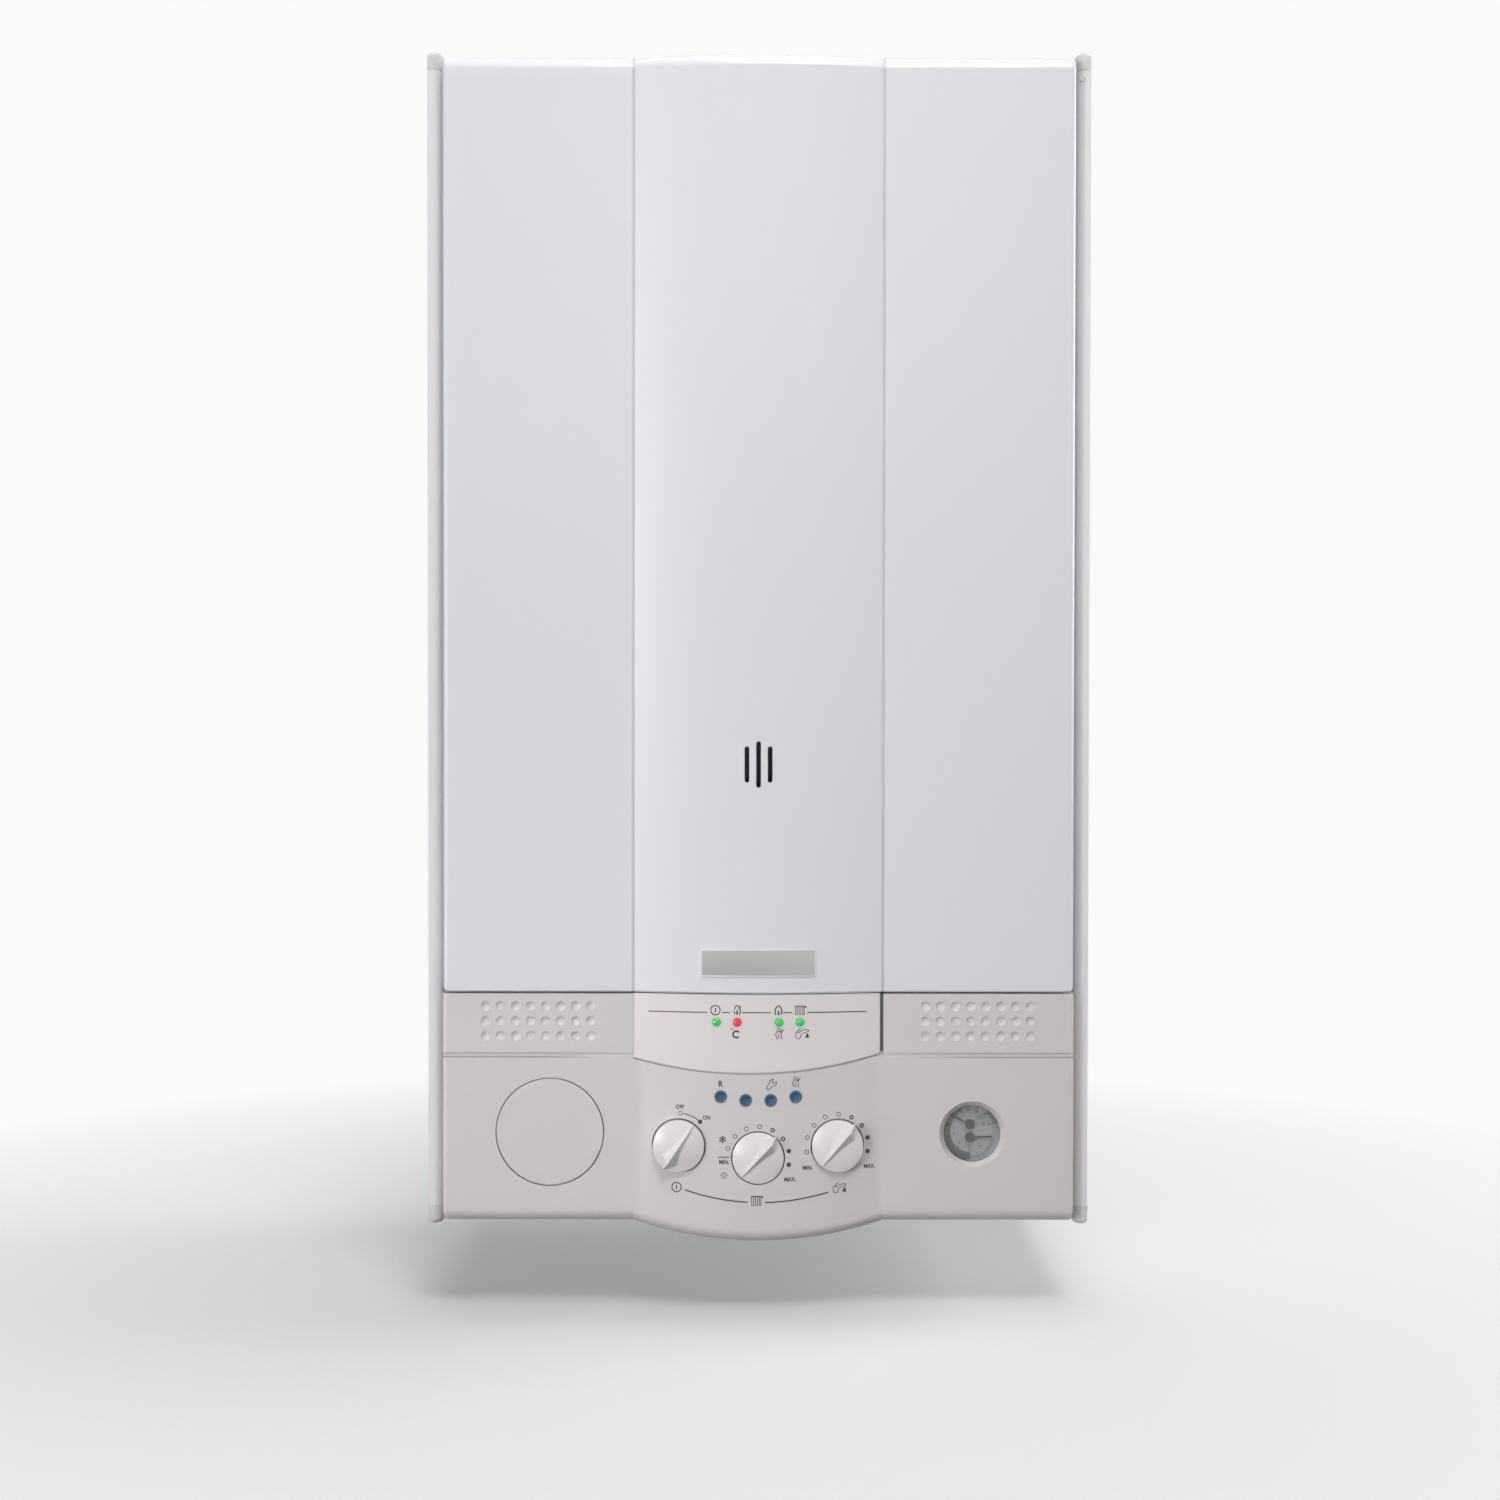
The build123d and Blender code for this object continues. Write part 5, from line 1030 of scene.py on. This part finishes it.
@dataclass(frozen=True)
class Knob:
    """A domed rotary knob with a raised grip, and the scale printed round it.

    The grip runs from its tail through the middle to its head, and its foot has a half width at the waist and
    at the shoulder. Each mark of the scale is an angle, a distance and the width of its ring.
    """

    node: str
    x: float
    z: float
    angle: float
    marks: tuple[tuple[float, float, float], ...]
    r: float = 15.8
    dome: float = 3.0
    rim_depth: float = 309.6
    back_depth: float = 300.0
    shaft_r: float = 3.0
    shaft_depth: float = 284.0
    head: float = 17.7
    tail: float = -15.2
    crest_at: float = 12.3
    crest_h: float = 10.0
    tail_h: float = 1.8
    waist: tuple[float, float] = (-9.0, 4.8)
    shoulder: tuple[float, float] = (10.0, 7.2)
    nib_half: float = 6.4
    blend: float = 0.3
    flank: float = 1.3
    edge_drop: float = 0.05
    chamfer: float = 0.35

    def height(self, across: np.ndarray, along: np.ndarray) -> np.ndarray:
        """Height of the face over its rim.

        The disc is a flattened ball. The grip's crest rises evenly from its tail to near its head and falls
        steeply beyond it. Its flanks are hollow: the crest times a power of the remaining share of the half
        width, down to a foot that widens towards the head. The higher of the two counts, blended over a
        fraction of a millimetre.
        """
        ball = (self.r**2 + self.dome**2) / (2 * self.dome)
        radius = np.minimum(np.hypot(across, along), self.r)
        disc = self.dome - ball + np.sqrt(ball**2 - radius**2)
        crest = np.interp(along, (self.tail, self.crest_at, self.head), (self.tail_h, self.crest_h, 0.0))
        foot = np.interp(along, (self.tail, self.waist[0], self.shoulder[0], self.head),
                         (0.0, self.waist[1], self.shoulder[1], 0.0))
        share = np.clip(1 - np.abs(across) / np.maximum(foot, 1e-3), 0.0, 1.0)
        off = (along < self.tail) | (along > self.head) | (share == 0.0)
        ridge = np.where(off, -5.0, crest * share**self.flank)
        blend = np.clip(0.5 + 0.5 * (disc - ridge) / self.blend, 0, 1)
        return ridge * (1 - blend) + disc * blend + self.blend * blend * (1 - blend)

    def rim(self, angle: np.ndarray) -> np.ndarray:
        """Radius of the outline: the disc, and the grip's nib where it stands out beyond it."""
        slope = self.nib_half / (self.head - self.shoulder[0])
        nib = self.head * slope / (np.abs(np.sin(angle)) + slope * np.maximum(np.cos(angle), 1e-6))
        return np.where(np.cos(angle) > 0.5, np.maximum(self.r, nib), self.r)

    def cap(self) -> None:
        """The face on a polar grid, with a side wall, a flat back and the shaft.

        The rings stand closer together towards the rim, and the first two lie a little lower, so that the
        face turns over softly into the wall.
        """
        steps, rings = 240, 64
        angle = np.linspace(0, 2 * np.pi, steps, endpoint=False)
        edge = self.rim(angle)
        wall, shaft = np.minimum(edge, self.r), self.shaft_r
        radius = np.linspace(1, 1e-5, rings)[:, None] ** 0.65 * edge
        out = self.height(radius * np.sin(angle), radius * np.cos(angle))
        out[0] = np.minimum(out[0], self.edge_drop) - self.edge_drop
        out[1] *= 0.9
        back, end = self.back_depth - self.rim_depth, self.shaft_depth - self.rim_depth
        for r, out_at in ((wall, -self.chamfer), (wall, back), (shaft, back), (shaft, end), (AXIS, end)):
            radius = np.vstack([np.full(steps, r), radius])
            out = np.vstack([np.full(steps, out_at), out])
        spot = polar((self.x, self.z), radius, self.angle + np.degrees(angle)).reshape(-1, 2)
        points = placed(spot[:, 0], self.rim_depth + out.ravel(), spot[:, 1])
        piece = mesh_piece(f"{self.node}_cap", points, grid_faces(len(radius), steps)[:, ::-1], KNOB, self.node)
        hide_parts(self.node)

    def draw_scale(self, art: Artwork) -> None:
        """The round marks: rings, or filled where the ring has no width."""
        for angle, far, width in self.marks:
            spot = polar((self.x, self.z), far, angle)
            if width:
                art.ring(spot, MARK_R - width / 2, width)
            else:
                art.dot(spot, MARK_R)


@dataclass
class Knobs:
    """The three knobs and all that is printed round them."""

    function: Knob = Knob("function_knob", -48.9, 52.2, 215.0, ((2.8, 19.8, THIN), (41.7, 19.8, FULL)))
    heating: Knob = Knob("heating_knob", 0.0, 44.9, 41.0, tuple(zip(
        (-72.5, -47.0, -22.0, 2.8, 27.7, 52.3, 77.3, 102.5), (19.4,) * 8,
        (THIN, THIN, THIN, THIN, THICK, THICK, FULL, FULL),
    )))
    hot_water: Knob = Knob("hot_water_knob", 48.9, 52.2, 38.0, tuple(zip(
        (-101.3, -74.3, -48.7, -23.5, 2.0, 27.0, 51.8, 77.2, 102.5), (19.2,) * 9,
        (THIN, THIN, THIN, THIN, THIN, THICK, THICK, FULL, FULL),
    )))

    def build(self) -> None:
        """Makes the knobs and their print."""
        art = Artwork()
        for knob in (self.function, self.heating, self.hot_water):
            knob.cap()
            knob.draw_scale(art)
        art.arc((self.function.x, self.function.z), 19.8, 8.0, 36.5, 0.6)
        for text, spot in (
            ("OFF", (-48.1, 75.9)), ("ON", (-31.8, 69.6)), ("MIN.", (-20.9, 42.3)), ("MAX.", (19.7, 31.7)),
            ("MIN.", (30.6, 38.7)), ("MAX.", (68.8, 38.8)),
        ):
            art.letters(text, spot, 2.75, 0.84, 0.03)
        art.line([(-24.6, 45.3), (-17.9, 45.3)], 0.6)
        for left, right, low, rise in ((-45.1, -6.4, 17.5, 7.2), (4.3, 43.3, 17.4, 5.9)):
            x = np.linspace(left, right, 40)
            art.line(np.stack([x, low + rise * (x / max(-left, right)) ** 2], axis=1), 0.82)
        for icon, x, z, size in (
            (Icon.SNOWFLAKE, -21.8, 56.2, 1.0), (Icon.SUN, -20.9, 34.0, 1.0), (Icon.POWER, -50.2, 26.2, 1.0),
            (Icon.RADIATOR, -0.9, 18.5, 1.06), (Icon.TAP, 50.0, 26.0, 0.98),
        ):
            SIGNS[icon].draw(art, x, z, size)
        pressed(art, "knob_print", INK, "fascia", INK_LIFT)


@dataclass
class Gauge:
    """Dial of the temperature and pressure gauge behind its glass."""

    x: float = 132.5
    z: float = 58.1
    dial_depth: float = 291.0
    face_r: float = 18.7
    hub_x: float = -0.9
    hubs: tuple[float, float] = (4.9, -3.4)

    def tick(self, art: Artwork, hub: float, angle: float, near: float, far: float, width: float) -> None:
        """A straight mark that points at a hub."""
        art.line(polar((self.hub_x, hub), np.array([near, far]), angle), width)

    def build(self) -> None:
        """Makes the face, the dark bands, the ticks and the figures, each at its own height over the dial."""
        face, band, warm, ink, fine = (Artwork() for _ in range(5))
        face.dot((0.0, 0.0), self.face_r)
        band.arc((0.0, 0.0), 15.7, 184.0, 291.0, 5.4)
        warm.arc((0.0, 0.0), 16.2, 38.0, 72.0, 3.0)
        for angle, far in (
            (-87, 15.2), (-60, 13.3), (-33, 12.6), (-5, 12.5), (25, 12.2), (57, 12.0), (91, 12.9),
        ):
            self.tick(ink, self.hubs[0], angle, far - 1.7, far, 0.75)
        for text, x, z, height in (
            ("0", -12.4, 5.7, 2.1), ("20", -10.4, 9.2, 2.2), ("40", -6.5, 12.7, 2.3), ("60", -1.5, 14.1, 2.4),
            ("80", 3.3, 12.7, 2.4), ("100", 5.6, 9.0, 2.3), ("120", 7.1, 5.0, 2.3), ("4", -10.6, -1.2, 2.3),
            ("3", -7.4, -7.2, 2.4), ("2", -1.1, -9.9, 2.6), ("1", 4.5, -7.6, 2.6), ("C", -1.0, 10.9, 1.5),
        ):
            ink.letters(text, (x, z), height, 0.8)
        for angle, near, far in ((-89, 12.0, 13.6), (229, 9.0, 10.6), (180, 8.6, 13.4), (128, 8.2, 9.8)):
            self.tick(ink, self.hubs[1], angle, near, far, 0.7)
        # The fine marks: the right and left quarters of the pressure scale, and the temperature scale.
        for i in range(1, 20):
            angle = 90 + 4.5 * i
            if i != 10:
                self.tick(fine, self.hubs[1], angle, 12.9 - 0.06 * i, 15.6 - 0.12 * i, 0.28)
            self.tick(fine, self.hubs[1], 180 + 4.5 * i, 10.6 + 0.12 * i, 13.0 + 0.12 * i, 0.26)
            self.tick(fine, self.hubs[0], -90 + 9.0 * i, 11.6, 12.6, 0.22)
        for art, name, finish, lift in (
            (face, "dial_face", DIAL, 0.04), (band, "dial_band", DIAL_BAND, 0.08),
            (warm, "dial_warm_band", DIAL_FAINT, 0.08), (ink, "dial_figures", DIAL_INK, 0.12),
            (fine, "dial_ticks", DIAL_INK, 0.10),
        ):
            flat = np.vstack(art.points) + (self.x, self.z)
            points = placed(flat[:, 0], self.dial_depth + lift, flat[:, 1])
            mesh_piece(name, points, art.faces, finish, "gauge_body", 0.0)


# The CAD nodes that keep their shape and get a finish on a smooth copy: the outside and then the inside.
CAD_PIECES = (
    (COVER_WHITE, "front_cover"), (SIDE_WHITE, "side_panel_left side_panel_right"), (CAP_GREY, "corner_caps"),
    (SIDE_WHITE, "top_plate"), (PANEL, "fascia timer_cap"), (STRIP, "display_strip"), (BADGE, "badge_plate"),
    (ZINC, "casing_screws"), (GLASS, "gauge_glass"), (BLACK, "gauge_body"),
    (NEEDLE, "temperature_needle pressure_needle"), (ZINC, "wall_bracket"),
    (GALVANISED, "back_frame bottom_tray"), (ZINC, "fascia_pivots cover_studs"), (ALUMINISED, "chamber_shell"),
    (RUBBER, "chamber_gasket"), (ALUMINISED, "chamber_cover"), (SIGHT, "sight_glass"),
    (CAST_ALLOY, "flue_collar"), (ALUMINISED, "flue_hood"), (CAST_ALLOY, "fan_housing"), (BLACK, "fan_motor"),
    (STAINLESS, "fan_impeller"), (COPPER, "heat_exchanger"), (ALUMINISED, "combustion_chamber"),
    (BOARD_FIBRE, "insulation_boards"), (STAINLESS, "burner"), (CAST_ALLOY, "gas_manifold"),
    (CERAMIC, "electrodes"), (VESSEL_RED, "expansion_vessel"), (COMPOSITE, "pump_body"),
    (PUMP_GREY, "pump_motor"), (COMPOSITE, "pump_impeller"), (BRASS, "diverter_valve"),
    (BLACK, "diverter_motor"), (STAINLESS, "plate_exchanger"), (COPPER, "exchanger_pipes"),
    (CAST_ALLOY, "gas_valve"), (COPPER, "gas_pipes pipe_stubs"), (BRASS, "relief_valve"),
    (KNOB_RED, "relief_knob"), (BRASS, "filling_valve"), (TAP_BLUE, "filling_tap"), (BLACK, "mains_gland"),
    (BOX_GREY, "control_box"), (BOARD, "circuit_board"),
)


def dress_cad() -> None:
    """Copies and dresses each node that keeps its shape."""
    for finish, nodes in CAD_PIECES:
        for node in nodes.split():
            smooth_copy(node, finish)


@dataclass
class Lamp:
    """A square area lamp, in metres."""

    name: str
    at: tuple[float, float, float]
    aim: tuple[float, float, float]
    size: float
    power: float
    spread: float = 180.0

    def build(self) -> None:
        """Hangs the lamp and turns it to its aim."""
        light = bpy.data.lights.new(self.name, "AREA")
        light.shape, light.size, light.energy = "SQUARE", self.size, self.power
        light.spread = math.radians(self.spread)
        holder = added(self.name, light)
        holder.location = self.at
        holder.rotation_euler = (Vector(self.aim) - Vector(self.at)).to_track_quat("-Z", "Y").to_euler()


@dataclass
class Studio:
    """Camera, lamps, floor and background."""

    camera_at: tuple[float, float, float] = (-5.3, 1800.0, 336.0)
    pitch: float = 1.1
    roll: float = -0.07
    focal: float = 58.41
    shift: float = -0.0125
    floor_z: float = -58.0
    floor_span: float = 12.0
    fade: tuple[float, float] = (300.0, 550.0)
    glow: tuple[float, float] = (0.25, 0.75)
    floor_grey: tuple[float, float] = (0.92, 0.3)
    white: float = 0.956
    sky_light: float = 0.15
    lamps: tuple[Lamp, ...] = (
        Lamp("far key", (-3.0, -4.2, -0.1), (0.0, -0.3, -0.3), 1.0, 84.0),
        Lamp("high key", (0.25, -1.7, 1.3), (0.0, -0.3, -0.1), 1.0, 2.4, 40.0),
        Lamp("panel key", (-1.25, -1.0, -0.76), (-0.10, -0.3, -0.69), 0.25, 0.13, 24.0),
        Lamp("right fill", (2.2, 0.22, 0.2), (0.2, -0.3, -0.3), 1.2, 32.0),
        Lamp("overhead", (0.0, -0.35, 2.2), (0.0, -0.3, -0.3), 1.8, 13.0),
    )

    def camera(self) -> None:
        """The camera stands at the photograph's place."""
        lens = bpy.data.cameras.new("camera")
        lens.lens, lens.sensor_width, lens.clip_end, lens.shift_y = self.focal, 36.0, 50.0, self.shift
        seat = added("camera", lens)
        seat.location = placed(*self.camera_at)
        seat.rotation_euler = (math.radians(90 - self.pitch), math.radians(self.roll), 0.0)
        bpy.context.scene.camera = seat

    def floor(self) -> None:
        """A wide pale floor that takes the boiler's soft shadow and fades into the background's white."""
        z, span = self.floor_z * MM + FOOT, self.floor_span
        mesh = bpy.data.meshes.new("floor")
        corners = ((-1, -1), (1, -1), (1, 1), (-1, 1))
        mesh.from_pydata([(span * x, span * y, z) for x, y in corners], [], [(0, 1, 2, 3)])
        made, graph = new_material("floor pale")
        x, y = graph.along("X"), graph.along("Y") + FRONT.flat / 2
        far = (x * x + y * y).math("SQRT").above(*self.fade)
        matt, dull = (
            graph.node("ShaderNodeBsdfDiffuse", {}, {"Color": rgba((grey,) * 3)}) for grey in self.floor_grey
        )
        glow = graph.node("ShaderNodeEmission", {}, {"Color": rgba((self.white,) * 3), "Strength": 1.0})
        share = far * self.glow[1] + self.glow[0]
        pale = graph.node("ShaderNodeMixShader", {}, {0: share, 1: matt, 2: glow})
        graph.shown_by_sight(dull, pale, "ShaderNodeOutputMaterial")
        mesh.materials.append(made)
        ground = added("floor", mesh)

    def sky(self) -> None:
        """Near-white to the camera and in reflections, and a low even light otherwise."""
        world = bpy.data.worlds.new("sky")
        bpy.context.scene.world = world
        world.use_nodes = True
        graph = Graph(world.node_tree)
        light, pale = (
            graph.node("ShaderNodeBackground", {}, {"Color": rgba(colour), "Strength": strength})
            for colour, strength in (((0.95, 0.96, 1.0), self.sky_light), ((self.white,) * 3, 1.0))
        )
        graph.shown_by_sight(light, pale, "ShaderNodeOutputWorld")

    def build(self) -> None:
        """Sets up the camera, the lamps and what lies behind the boiler."""
        self.camera()
        self.floor()
        self.sky()
        for lamp in self.lamps:
            lamp.build()
        bpy.context.scene.view_settings.view_transform = "Standard"


def main() -> None:
    """Builds every sub-assembly in order."""
    logging.basicConfig(level=logging.INFO, format="%(name)s: %(message)s")
    Studio().build()
    dress_cad()
    for part in (LampStrip(), PushButtons(), Knobs(), Gauge()):
        part.build()
        log.info("%s in place", type(part).__name__)


if __name__ == "__main__":
    main()
